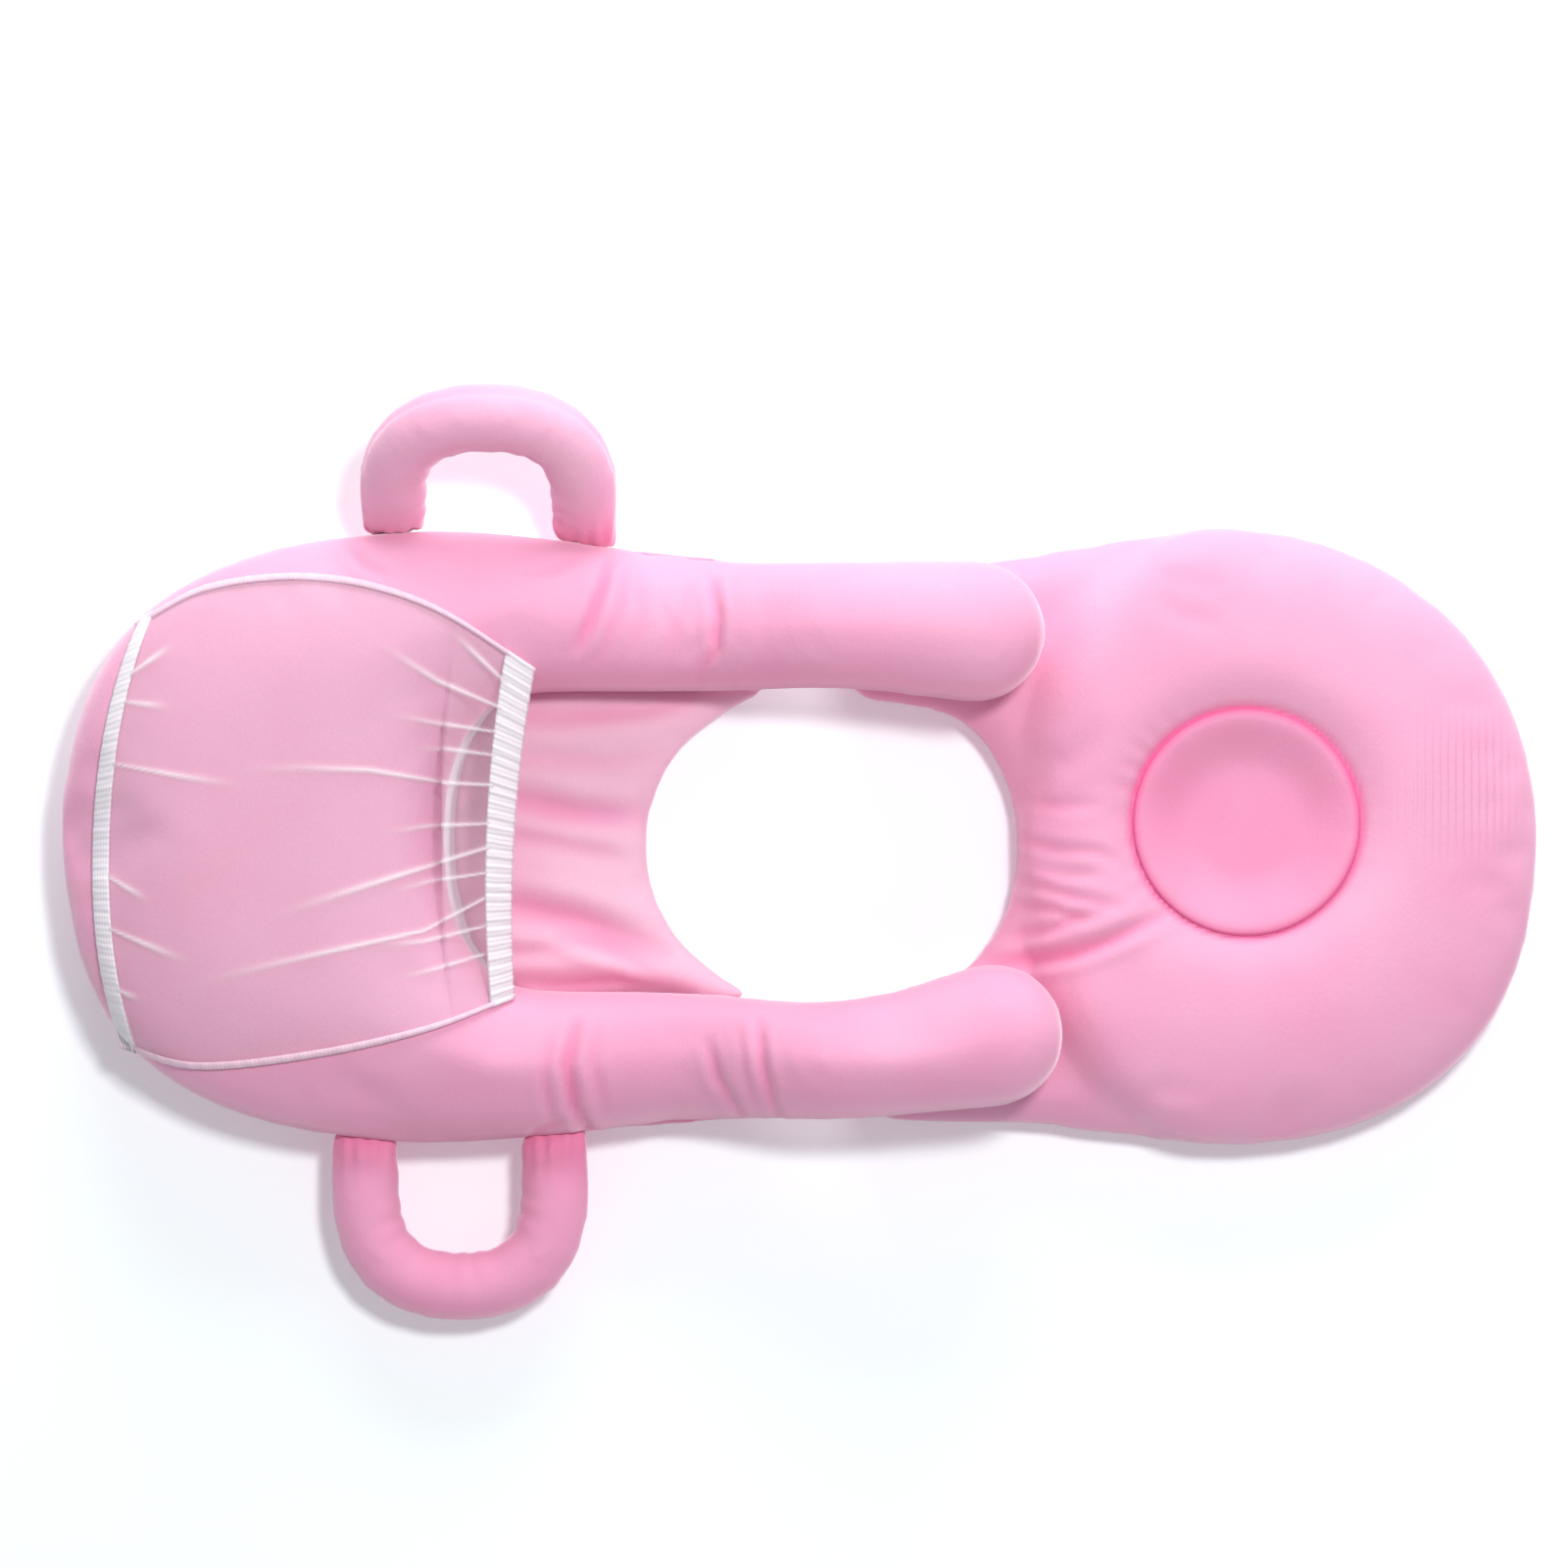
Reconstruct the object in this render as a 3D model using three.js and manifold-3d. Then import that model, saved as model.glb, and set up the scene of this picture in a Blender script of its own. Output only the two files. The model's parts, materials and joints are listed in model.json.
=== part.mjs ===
// Nursing pillow: a U-shaped bolster with a sheer pocket, a seat pad and two padded handles.
// The ends of its two arms lie on a round head pillow with a dimple, around a round gap.
// Millimetres. +X runs from the bolster to the head pillow, +Y is its left side and +Z is up.
// The model is laid out around the middle of the round gap, and moved at the end so that the
// origin is under the middle of the whole thing, on the surface it lies on.
import * as THREE from "three";
import { mergeVertices } from "three/addons/utils/BufferGeometryUtils.js";
import Module from "manifold-3d";

// ---- driving dimensions ----
const FABRIC = 2; // plush cover with its backing
const GAP = 0.3; // left between pieces that touch
const GAP_RADIUS = 82; // the round gap between the two cushions
const GAP_OFFSET = -5; // its middle lies a little to the right of the long axis

const BOLSTER_HEIGHT = 64;
const BOLSTER_EDGE = 24; // how far in from the outline the top and bottom are rounded
const BOLSTER_SEAM = 30; // height of the side seam
const HIP_X = -168; // where the bolster is widest
const HIP_HALF = 146;
const NOSE_REACH = 194; // from the hips to the closed end
const NOSE_FULLNESS = 2.75; // exponent of its superellipse
const WAIST_X = -15; // where the arms are slimmest
const CRESCENT_X = -134; // where the inner edge starts to close
const CRESCENT_DEPTH = 42;
const CRESCENT_FULLNESS = 2.2;
const ARM_JOINT_X = -38; // where the arms bend when they are lifted
const ARM_RAMP = [-76, 8]; // the arms climb onto the head pillow between these
const ARM_RAMP_STEPS = 6;
const ARM_TIP_RADIUS = 34.5;
const LEFT_ARM = { name: "left", side: 1, root: 70, neck: 73, waist: 131, tipX: 103.5, tipY: 100 };
const RIGHT_ARM = { name: "right", side: -1, root: 75, neck: 81, waist: 134.5, tipX: 111.5, tipY: 95 };

const HEAD_HEIGHT = 44;
const HEAD_EDGE = 22;
const HEAD_SEAM = 14;
const HEAD_X = 175; // where the head pillow is widest
const HEAD_HALF = 152;
const HEAD_REACH = 163.5; // from there to its far end
const HEAD_FULLNESS = { left: 2.15, right: 2.4 };
const CROWN_FULLNESS = 1.75; // of the thick part's near edge
const HORN_HEIGHT = 28; // the two horns that reach under the arms
const HORN_EDGE = 13;
const ARM_REST = 2.5; // left between the horns and the arms that lie on them
const ARM_LIFT = HORN_HEIGHT + ARM_REST;
const LEFT_HORN = { side: 1, tipX: 0, inner: 65, shoulder: 131, root: 141, taper: 32 };
const RIGHT_HORN = { side: -1, tipX: 6, inner: 84, shoulder: 143, root: 144, taper: 22 };

const DIMPLE = { x: 196, y: 7, radius: 54.5, floor: HEAD_SEAM + 3, rim: HEAD_HEIGHT - 8, panel: 2.4 };
const DIMPLE_BOWL = [[0.5, 0.08], [0.8, 0.4], [1, 1]]; // shares of the radius and of the climb to the rim
const DIMPLE_LIP = 12; // width of the rounded lip around it

const SEAT_HEIGHT = 18;
const SEAT_EDGE = 7;
const SEAT_FRONT = -14; // where its two corners end under the arms
const SEAT_SEAM = 7;
const SEAT_TUCK = 5; // how far it reaches under the bolster's inner edge
const SEAT_CORNER = 8; // how far its corners reach under the arms, where those climb

const NET = { thick: 0.8, rise: 1.2, trim: 1.6 }; // above the bolster
const NET_SEAMS = {
  left: [[-325, 104], [-290, 121], [-238, 125], [-188, 112], [-138, 81]],
  right: [[-334, -99], [-296, -108], [-240, -101], [-188, -89], [-148, -74]],
};
const NET_BOW = { rear: -16, front: -5 }; // how far the middle of each elastic bows out
const NET_BED_FRONT = -60; // the net is shaped over a full cushion that ends here
const NET_LOW = 4; // its edges end this far above the bolster's seam
const ELASTIC_WIDTH = 12;
const BINDING_WIDTH = 5;

const HANDLE_TUBE = 34;
const HANDLE_RADIUS = 45; // of the bend's middle line
const HANDLE_FULLNESS = 2.4; // exponent of the bend, which is a little squarer than a circle
const HANDLE_LEG = 24; // from the bolster's side to the bend
const HANDLE_TUCK = 12; // how far the legs are drawn on into the side, before they are cut off
const HANDLE_ROOT = { y: HIP_HALF - 1.5, z: BOLSTER_SEAM - 2 }; // where the legs are sewn on, and swing
const HANDLE_TAB = { thick: 4, length: 30 }; // the legs thin out to a flat tab there
const HANDLE_CLEARANCE = 0.6; // left between the legs' ends and the bolster, however they swing
// Each handle lies tilted up by some degrees, and swings from there by a range of degrees.
const LEFT_HANDLE = { name: "left", side: 1, x: -160.5, tilt: 42, swing: [-44, -22, 14] };
const RIGHT_HANDLE = { name: "right", side: -1, x: -174.5, tilt: -4, swing: [30, 60] };

// ---- materials ----
const finish = (color, roughness) => new THREE.MeshStandardMaterial({ color, roughness, metalness: 0 });
const plush = finish(0xf2a3c7, 0.9);
const lining = finish(0xe88fba, 0.9);
const fibre = finish(0xf6f4f2, 1);
const sheer = finish(0xf3dcea, 0.8);
const elastic = finish(0xefe4ee, 0.85);

// ---- solids ----
const wasm = await Module();
wasm.setup();

function toSolid(geometry) {
  const loose = geometry.clone();
  loose.deleteAttribute("normal");
  loose.deleteAttribute("uv");
  const merged = mergeVertices(loose, 1e-3);
  return new wasm.Manifold(
    new wasm.Mesh({
      numProp: 3,
      vertProperties: new Float32Array(merged.attributes.position.array),
      triVerts: new Uint32Array(merged.index.array),
    }),
  );
}

function toGeometry(solid) {
  const mesh = solid.getMesh();
  return new THREE.BufferGeometry()
    .setAttribute("position", new THREE.BufferAttribute(new Float32Array(mesh.vertProperties), 3))
    .setIndex(new THREE.BufferAttribute(new Uint32Array(mesh.triVerts), 1));
}

const FAR = 1000; // beyond every piece

function block(low, high) {
  const size = high.map((value, axis) => value - low[axis]);
  const middle = low.map((value, axis) => value + size[axis] / 2);
  return toSolid(new THREE.BoxGeometry(...size).translate(...middle));
}

const before = (x) => block([-FAR, -FAR, -FAR], [x, FAR, FAR]);
const beyond = (x) => block([x, -FAR, -FAR], [FAR, FAR, FAR]);
const prism = (points) => toSolid(
  new THREE.ExtrudeGeometry(new THREE.Shape(points), { depth: FAR, bevelEnabled: false }),
);

// A slab with elliptically rounded edges, standing on z = 0. inset draws all of it in by a wall.
function slab(outline, height, edge, inset = 0) {
  const half = (height - 1) / 2;
  return new THREE.ExtrudeGeometry(new THREE.Shape(outline), {
    depth: 1,
    steps: 1,
    bevelEnabled: true,
    bevelThickness: half - inset,
    bevelSize: edge - inset,
    bevelOffset: -edge,
    bevelSegments: 3,
  }).translate(0, 0, half);
}

// A closed smooth outline through some [x, y] points, finer where they are closer together.
function smoothOutline(points, steps) {
  const knots = points.map(([x, y]) => new THREE.Vector3(x, y, 0));
  const curve = new THREE.CatmullRomCurve3(knots, true, "centripetal");
  return curve.getPoints(points.length * steps).slice(0, -1).map((p) => new THREE.Vector2(p.x, p.y));
}

// One quarter of a superellipse around (centreX, 0), from the long axis to its widest point.
function superQuarter(centreX, reachX, reachY, exponent, steps) {
  const points = [];
  for (let i = 0; i <= steps; i++) {
    const turn = ((Math.PI / 2) * i) / steps;
    const x = centreX + reachX * Math.cos(turn) ** (2 / exponent);
    points.push([x, reachY * Math.sin(turn) ** (2 / exponent)]);
  }
  return points;
}

function arcPoints(centreX, centreY, radius, fromDegrees, toDegrees, steps) {
  const points = [];
  for (let i = 0; i <= steps; i++) {
    const angle = THREE.MathUtils.degToRad(fromDegrees + ((toDegrees - fromDegrees) * i) / steps);
    points.push([centreX + radius * Math.cos(angle), centreY + radius * Math.sin(angle)]);
  }
  return points;
}

const mirrored = (points, side) => points.map(([x, y]) => [x, y * side]);
const mix = (a, b, t) => a + (b - a) * t;

function smoothStep(t) {
  const c = THREE.MathUtils.clamp(t, 0, 1);
  return c * c * (3 - 2 * c);
}

// The arms climb along a smooth ramp of short straight stretches.
const rampX = [];
for (let i = 0; i <= ARM_RAMP_STEPS; i++) rampX.push(mix(ARM_RAMP[0], ARM_RAMP[1], i / ARM_RAMP_STEPS));

const liftAt = (x) => ARM_LIFT * smoothStep((x - ARM_RAMP[0]) / (ARM_RAMP[1] - ARM_RAMP[0]));

// Raises a solid along the ramp, one stretch after another.
function lifted(solid) {
  const ends = [-FAR, ...rampX, FAR];
  let raised = null;
  for (let i = 1; i < ends.length; i++) {
    const geometry = toGeometry(solid.intersect(block([ends[i - 1], -FAR, -FAR], [ends[i], FAR, FAR])));
    const at = geometry.attributes.position;
    for (let k = 0; k < at.count; k++) {
      at.setZ(k, at.getZ(k) + liftAt(at.getX(k)));
    }
    raised = raised ? raised.add(toSolid(geometry)) : toSolid(geometry);
  }
  return raised;
}

// Everything above a height that follows the raised arms.
function aboveLifted(height) {
  const profile = [[-FAR, FAR], [-FAR, height], ...rampX.map((x) => [x, height + liftAt(x)])];
  profile.push([FAR, height + ARM_LIFT], [FAR, FAR]);
  const shape = new THREE.Shape(profile.map(([x, z]) => new THREE.Vector2(x, z)));
  const wall = new THREE.ExtrudeGeometry(shape, { depth: 2 * FAR, bevelEnabled: false });
  return toSolid(wall.rotateX(Math.PI / 2).translate(0, FAR, 0));
}

// ---- the pieces ----
const pillow = new THREE.Group();
pillow.name = "nursing_pillow";

function piece(name, solid, material) {
  const mesh = new THREE.Mesh(toGeometry(solid), material);
  mesh.name = name;
  pillow.add(mesh);
}

// Two shells split at a seam: what lies above the cutter, and what lies under it.
function splitCover(name, shell, upper, lower, material) {
  piece(`${name}_top_cover`, shell.intersect(upper), material);
  piece(`${name}_bottom_cover`, shell.subtract(lower), material);
}

// ---- bolster and its arms ----
function bolsterSide(arm) {
  const nose = superQuarter(HIP_X, -NOSE_REACH, HIP_HALF, NOSE_FULLNESS, 8);
  const flank = [0.2, 0.4, 0.6, 0.8, 1].map(
    (t) => [mix(HIP_X, WAIST_X, t), mix(HIP_HALF, arm.waist, smoothStep(t))],
  );
  const bulbX = arm.tipX - ARM_TIP_RADIUS;
  const bulb = arcPoints(bulbX, arm.tipY, ARM_TIP_RADIUS, 86, -104, 12);
  const inner = [
    [bulbX * 0.4, mix(arm.tipY - ARM_TIP_RADIUS, arm.neck, 0.75)],
    [WAIST_X + 5, arm.neck],
    [ARM_JOINT_X - 8, mix(arm.root, arm.neck, 0.5)],
    [-90, arm.root + 1],
  ];
  const crescent = superQuarter(CRESCENT_X, -CRESCENT_DEPTH, arm.root, CRESCENT_FULLNESS, 6).reverse();
  return {
    outside: mirrored([...nose, ...flank, ...bulb, ...inner], arm.side),
    hollow: mirrored(crescent, arm.side),
  };
}

const leftSide = bolsterSide(LEFT_ARM);
const rightSide = bolsterSide(RIGHT_ARM);
const bolsterOutline = smoothOutline(
  [
    ...leftSide.outside,
    ...leftSide.hollow.slice(0, -1),
    ...rightSide.hollow.reverse(),
    ...rightSide.outside.slice(1).reverse(),
  ],
  2,
);

const bolsterSolid = (inset) => lifted(toSolid(slab(bolsterOutline, BOLSTER_HEIGHT, BOLSTER_EDGE, inset)));

const bolsterShell = bolsterSolid(0).subtract(bolsterSolid(FABRIC));
const bolsterFilling = bolsterSolid(FABRIC + GAP);
const bolsterUpper = aboveLifted(BOLSTER_SEAM);
const bolsterLower = aboveLifted(BOLSTER_SEAM - GAP);
const behindJoint = before(ARM_JOINT_X);
const armZone = beyond(ARM_JOINT_X + GAP);

splitCover("bolster", bolsterShell.intersect(behindJoint), bolsterUpper, bolsterLower, plush);
piece("bolster_filling", bolsterFilling.intersect(behindJoint), fibre);

for (const arm of [LEFT_ARM, RIGHT_ARM]) {
  const low = Math.min(0, arm.side * FAR);
  const zone = armZone.intersect(block([-FAR, low, -FAR], [FAR, low + FAR, FAR]));
  splitCover(`${arm.name}_arm`, bolsterShell.intersect(zone), bolsterUpper, bolsterLower, plush);
  piece(`${arm.name}_arm_filling`, bolsterFilling.intersect(zone), fibre);
}

// ---- seat pad ----
// The seat pad fills the hollow between the arms, up to the round gap.
const seatRear = (arm) => superQuarter(
  CRESCENT_X, -CRESCENT_DEPTH - SEAT_TUCK, arm.root + SEAT_TUCK, CRESCENT_FULLNESS, 6,
).reverse();
const seatSide = (arm) => mirrored(
  [
    [SEAT_FRONT, arm.root - 14],
    [SEAT_FRONT - 5, arm.root + 1],
    [SEAT_FRONT - 18, arm.root + SEAT_CORNER],
    [SEAT_FRONT - 48, arm.root + SEAT_CORNER - 1],
    [SEAT_FRONT - 80, arm.root + SEAT_TUCK],
    ...seatRear(arm),
  ],
  arm.side,
);
const seatOutline = smoothOutline(
  [...seatSide(LEFT_ARM).slice(0, -1), ...seatSide(RIGHT_ARM).reverse()],
  2,
);
const gapColumn = (radius) => toSolid(
  new THREE.CylinderGeometry(radius, radius, FAR, 96).rotateX(Math.PI / 2).translate(0, GAP_OFFSET, 0),
);
const seatSolid = (inset) => toSolid(slab(seatOutline, SEAT_HEIGHT, SEAT_EDGE, inset))
  .subtract(gapColumn(GAP_RADIUS + inset));
const aboveFlat = (z) => block([-FAR, -FAR, z], [FAR, FAR, FAR]);
const seatShell = seatSolid(0).subtract(seatSolid(FABRIC));
splitCover("seat_pad", seatShell, aboveFlat(SEAT_SEAM), aboveFlat(SEAT_SEAM - GAP), plush);
piece("seat_pad_wadding", seatSolid(FABRIC + GAP), fibre);

// ---- net pocket ----
// The net lies over the closed end as if the hollow between the arms were filled in.
const noseQuarter = superQuarter(HIP_X, -NOSE_REACH, HIP_HALF, NOSE_FULLNESS, 8);
const netBed = smoothOutline(
  [
    ...noseQuarter,
    [NET_BED_FRONT, HIP_HALF],
    [NET_BED_FRONT, -HIP_HALF],
    ...mirrored(noseQuarter.slice(1), -1).reverse(),
  ],
  2,
);
const netForm = toSolid(slab(netBed, BOLSTER_HEIGHT, BOLSTER_EDGE));

function netShell(thick) {
  const outer = netForm.translate([0, 0, NET.rise + thick]);
  return outer.subtract(netForm.translate([0, 0, NET.rise])).intersect(aboveFlat(BOLSTER_SEAM + NET_LOW));
}

const seamCurves = [NET_SEAMS.right, NET_SEAMS.left].map(
  (points) => new THREE.CatmullRomCurve3(points.map(([x, y]) => new THREE.Vector3(x, y, 0))),
);

// A place on the pocket: along runs from the rear elastic to the front one, across from right to left.
function netPoint(along, across) {
  const [right, left] = seamCurves.map((curve) => curve.getPoint(along));
  const point = right.lerp(left, across);
  const bow = mix(NET_BOW.rear, NET_BOW.front, along) * 4 * across * (1 - across);
  return new THREE.Vector2(point.x + bow, point.y);
}

function netField(from, to, thick) {
  const steps = 8;
  const rim = [];
  for (let i = 0; i < steps; i++) rim.push(netPoint(mix(from[0], to[0], i / steps), from[1]));
  for (let i = 0; i < steps; i++) rim.push(netPoint(to[0], mix(from[1], to[1], i / steps)));
  for (let i = 0; i < steps; i++) rim.push(netPoint(mix(to[0], from[0], i / steps), to[1]));
  for (let i = 0; i < steps; i++) rim.push(netPoint(from[0], mix(to[1], from[1], i / steps)));
  return netShell(thick).intersect(prism(rim));
}

const netLength = NET_SEAMS.left.at(-1)[0] - NET_SEAMS.left[0][0];
const netWidth = NET_SEAMS.left[0][1] - NET_SEAMS.right[0][1];
const band = ELASTIC_WIDTH / netLength;
const bandGap = GAP / netLength;
const hem = BINDING_WIDTH / netWidth;
const hemGap = (4 * GAP) / netWidth;
const inHem = [hem + hemGap, 1 - hem - hemGap];
piece("net_pocket_panel",
  netField([band + bandGap, inHem[0]], [1 - band - bandGap, inHem[1]], NET.thick), sheer);
piece("net_rear_elastic", netField([0, inHem[0]], [band, inHem[1]], NET.trim), elastic);
piece("net_front_elastic", netField([1 - band, inHem[0]], [1, inHem[1]], NET.trim), elastic);
piece("net_right_binding", netField([0, 0], [1, hem], NET.trim), elastic);
piece("net_left_binding", netField([0, 1 - hem], [1, 1], NET.trim), elastic);

// ---- handles ----
const halfBend = superQuarter(0, HANDLE_RADIUS, HANDLE_RADIUS, HANDLE_FULLNESS, 4).map(
  ([x, y]) => [x, HANDLE_LEG + y],
);
const handlePath = new THREE.CatmullRomCurve3(
  [
    [-HANDLE_RADIUS, -HANDLE_TUCK],
    [-HANDLE_RADIUS, HANDLE_LEG / 2],
    ...halfBend.map(([x, y]) => [-x, y]),
    ...halfBend.slice(0, -1).reverse(),
    [HANDLE_RADIUS, HANDLE_LEG / 2],
    [HANDLE_RADIUS, -HANDLE_TUCK],
  ].map(([x, y]) => new THREE.Vector3(x, y, 0)),
);

// A leg-bend-leg tube of one radius, thinned at its legs' ends, tilted and set at its place.
function handleTube(radius, side) {
  const circle = arcPoints(0, 0, radius, 0, 324, 9).map(([x, y]) => new THREE.Vector2(x, y));
  const geometry = new THREE.ExtrudeGeometry(new THREE.Shape(circle), {
    steps: 18,
    extrudePath: handlePath,
    bevelEnabled: false,
  });
  const at = geometry.attributes.position;
  for (let i = 0; i < at.count; i++) {
    const t = smoothStep(at.getY(i) / HANDLE_TAB.length);
    at.setZ(i, at.getZ(i) * mix(HANDLE_TAB.thick / HANDLE_TUBE, 1, t));
  }
  geometry.rotateX(THREE.MathUtils.degToRad(side.tilt));
  if (side.side < 0) geometry.rotateZ(Math.PI);
  return toSolid(geometry.translate(side.x, side.side * HANDLE_ROOT.y, HANDLE_ROOT.z));
}

// The room that the bolster takes up beside a handle's root, as seen from the swinging handle.
const bolsterSkin = bolsterSolid(-HANDLE_CLEARANCE);
function handleSeat(side) {
  const pivot = [side.x, side.side * HANDLE_ROOT.y, HANDLE_ROOT.z];
  const reach = HANDLE_RADIUS + HANDLE_TUBE;
  const root = block(
    [pivot[0] - reach, pivot[1] - HANDLE_TUBE, pivot[2] - HANDLE_TUBE],
    [pivot[0] + reach, pivot[1] + HANDLE_TUBE, pivot[2] + HANDLE_TUBE],
  );
  const flank = bolsterSkin.intersect(root).translate(pivot.map((value) => -value));
  let seat = flank;
  for (const angle of side.swing) seat = seat.add(flank.rotate([-angle * side.side, 0, 0]));
  return seat.translate(pivot).add(bolsterSkin);
}

for (const side of [LEFT_HANDLE, RIGHT_HANDLE]) {
  const seat = handleSeat(side);
  const outer = handleTube(HANDLE_TUBE / 2, side);
  const bore = handleTube(HANDLE_TUBE / 2 - FABRIC, side);
  const filling = handleTube(HANDLE_TUBE / 2 - FABRIC - GAP, side);
  piece(`${side.name}_handle_cover`, outer.subtract(bore).subtract(seat), plush);
  piece(`${side.name}_handle_filling`, filling.subtract(seat), fibre);
}

// ---- head pillow ----
const headSide = (horn, fullness) => mirrored(
  superQuarter(HEAD_X, HEAD_REACH, HEAD_HALF, fullness, 6),
  horn.side,
);
const crownSide = (horn) => mirrored(
  superQuarter(HEAD_X, GAP_RADIUS - HEAD_X, HEAD_HALF, CROWN_FULLNESS, 6).reverse(),
  horn.side,
);
const hornSide = (horn) => mirrored(
  [
    [HEAD_X - 40, mix(horn.root, HEAD_HALF, 0.6)],
    [HEAD_X - 80, horn.root],
    [horn.tipX + 1.2 * horn.taper, horn.shoulder],
    [horn.tipX + 0.5 * horn.taper, horn.shoulder - 0.25 * horn.taper],
    [horn.tipX, mix(horn.shoulder, horn.inner, 0.32)],
    [horn.tipX, mix(horn.shoulder, horn.inner, 0.68)],
    [horn.tipX + 0.4 * horn.taper, horn.inner + 0.1 * horn.taper],
    [horn.tipX + horn.taper, horn.inner],
  ],
  horn.side,
);
const leftHead = headSide(LEFT_HORN, HEAD_FULLNESS.left);
const rightHead = headSide(RIGHT_HORN, HEAD_FULLNESS.right);
const bodyOutline = smoothOutline(
  [
    ...leftHead,
    ...crownSide(LEFT_HORN).slice(1),
    ...crownSide(RIGHT_HORN).slice(1, -1).reverse(),
    ...rightHead.slice(1).reverse(),
  ],
  2,
);
const hornOutline = smoothOutline(
  [
    ...leftHead,
    ...hornSide(LEFT_HORN),
    ...arcPoints(0, GAP_OFFSET, GAP_RADIUS, 48, -56, 8),
    ...hornSide(RIGHT_HORN).reverse(),
    ...rightHead.slice(1).reverse(),
  ],
  2,
);

// The recess of the dimple, drawn deeper and wider by a wall.
function dimpleRecess(wall) {
  const profile = [
    [0, DIMPLE.floor],
    ...DIMPLE_BOWL.map(([share, climb]) => [DIMPLE.radius * share, mix(DIMPLE.floor, DIMPLE.rim, climb)]),
    [DIMPLE.radius + DIMPLE_LIP / 2, mix(DIMPLE.rim, HEAD_HEIGHT, 0.75)],
    [DIMPLE.radius + DIMPLE_LIP, HEAD_HEIGHT + 1],
  ].map(([r, z]) => new THREE.Vector2(r > 0 ? r + wall : 0, z - wall));
  const top = [new THREE.Vector2(profile.at(-1).x, FAR), new THREE.Vector2(0, FAR)];
  const lathe = new THREE.LatheGeometry([...profile, ...top], 32);
  return toSolid(lathe.rotateX(Math.PI / 2).translate(DIMPLE.x, DIMPLE.y, 0));
}

function headSolid(inset) {
  const body = toSolid(slab(bodyOutline, HEAD_HEIGHT, HEAD_EDGE, inset));
  const horns = toSolid(slab(hornOutline, HORN_HEIGHT, HORN_EDGE, inset));
  return body.add(horns).subtract(dimpleRecess(inset));
}

const headShell = headSolid(0).subtract(headSolid(FABRIC));
splitCover("head", headShell, aboveFlat(HEAD_SEAM), aboveFlat(HEAD_SEAM - GAP), plush);
piece("head_filling", headSolid(FABRIC + GAP), fibre);

const panelRim = dimpleRecess(-GAP).subtract(dimpleRecess(-GAP - DIMPLE.panel));
piece("dimple_panel", panelRim.intersect(block([-FAR, -FAR, 0], [FAR, FAR, DIMPLE.rim])), lining);

// ---- origin ----
const box = new THREE.Box3().setFromObject(pillow);
const middle = box.getCenter(new THREE.Vector3());
for (const mesh of pillow.children) {
  mesh.geometry.translate(-middle.x, -middle.y, -box.min.z);
  mesh.geometry.computeVertexNormals();
}

export default pillow;
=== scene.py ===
"""Nursing pillow: soft goods, cloth finishes and a studio, built around the loaded frame."""
import json
import math
from contextlib import contextmanager

import bmesh
import bpy
import numpy as np
from bpy.props import FloatProperty, FloatVectorProperty, PointerProperty
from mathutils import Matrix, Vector
from mathutils.bvhtree import BVHTree
from mathutils.kdtree import KDTree

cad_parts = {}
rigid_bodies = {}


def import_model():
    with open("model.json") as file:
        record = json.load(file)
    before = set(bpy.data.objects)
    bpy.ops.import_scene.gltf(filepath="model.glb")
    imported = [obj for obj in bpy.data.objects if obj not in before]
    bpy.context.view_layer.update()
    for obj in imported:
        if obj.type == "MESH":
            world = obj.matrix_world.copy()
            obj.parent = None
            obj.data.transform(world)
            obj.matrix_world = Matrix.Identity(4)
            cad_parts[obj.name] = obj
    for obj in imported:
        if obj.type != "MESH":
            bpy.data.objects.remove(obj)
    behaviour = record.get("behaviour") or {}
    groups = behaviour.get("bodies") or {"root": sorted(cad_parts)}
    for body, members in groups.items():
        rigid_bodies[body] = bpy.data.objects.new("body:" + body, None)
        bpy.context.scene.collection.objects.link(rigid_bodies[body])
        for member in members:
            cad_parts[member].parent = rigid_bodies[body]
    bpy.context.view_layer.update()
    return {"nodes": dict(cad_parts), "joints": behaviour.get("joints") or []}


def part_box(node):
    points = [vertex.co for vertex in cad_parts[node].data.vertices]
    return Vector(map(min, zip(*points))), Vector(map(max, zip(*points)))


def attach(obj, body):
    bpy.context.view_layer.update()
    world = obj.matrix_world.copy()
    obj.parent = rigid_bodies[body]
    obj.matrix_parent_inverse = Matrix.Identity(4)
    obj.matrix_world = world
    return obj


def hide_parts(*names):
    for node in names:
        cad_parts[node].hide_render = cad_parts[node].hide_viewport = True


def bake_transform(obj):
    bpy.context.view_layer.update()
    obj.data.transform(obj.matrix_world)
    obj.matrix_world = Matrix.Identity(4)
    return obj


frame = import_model()

bl_info = {
    "name": "Nursing Pillow",
    "version": (1, 0, 0),
    "blender": (4, 5, 0),
    "location": "3D View > Sidebar > Pillow",
    "description": "Builds the cushions, net pocket, handles and dimple of a nursing pillow",
    "category": "Add Mesh",
}

JOINTS = {joint["name"]: joint for joint in frame["joints"]}
ARM_HINGE = Vector(JOINTS["left_arm_lift"]["pos_m"])
SEAM_DEPTH = 0.0016
SEAM_WIDTH = 0.0022
DEEPEST_FOLD = 0.007  # a fold this deep gets the full painted shade
SIDE_SHADE = 0.12
SIDE_TURN = 0.75  # upward part of the normal from which a face counts as a top
RIM_BAND = 0.004  # height of the band that counts as a cushion's outline
LUMPS = 0.0012  # of the stuffing
DIMPLE_LOW, DIMPLE_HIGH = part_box("dimple_panel")
DIMPLE_CENTRE = (DIMPLE_LOW + DIMPLE_HIGH) / 2
DIMPLE_RADIUS = (DIMPLE_HIGH.x - DIMPLE_LOW.x) / 2
SEAM_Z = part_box("bolster_top_cover")[0].z
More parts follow.
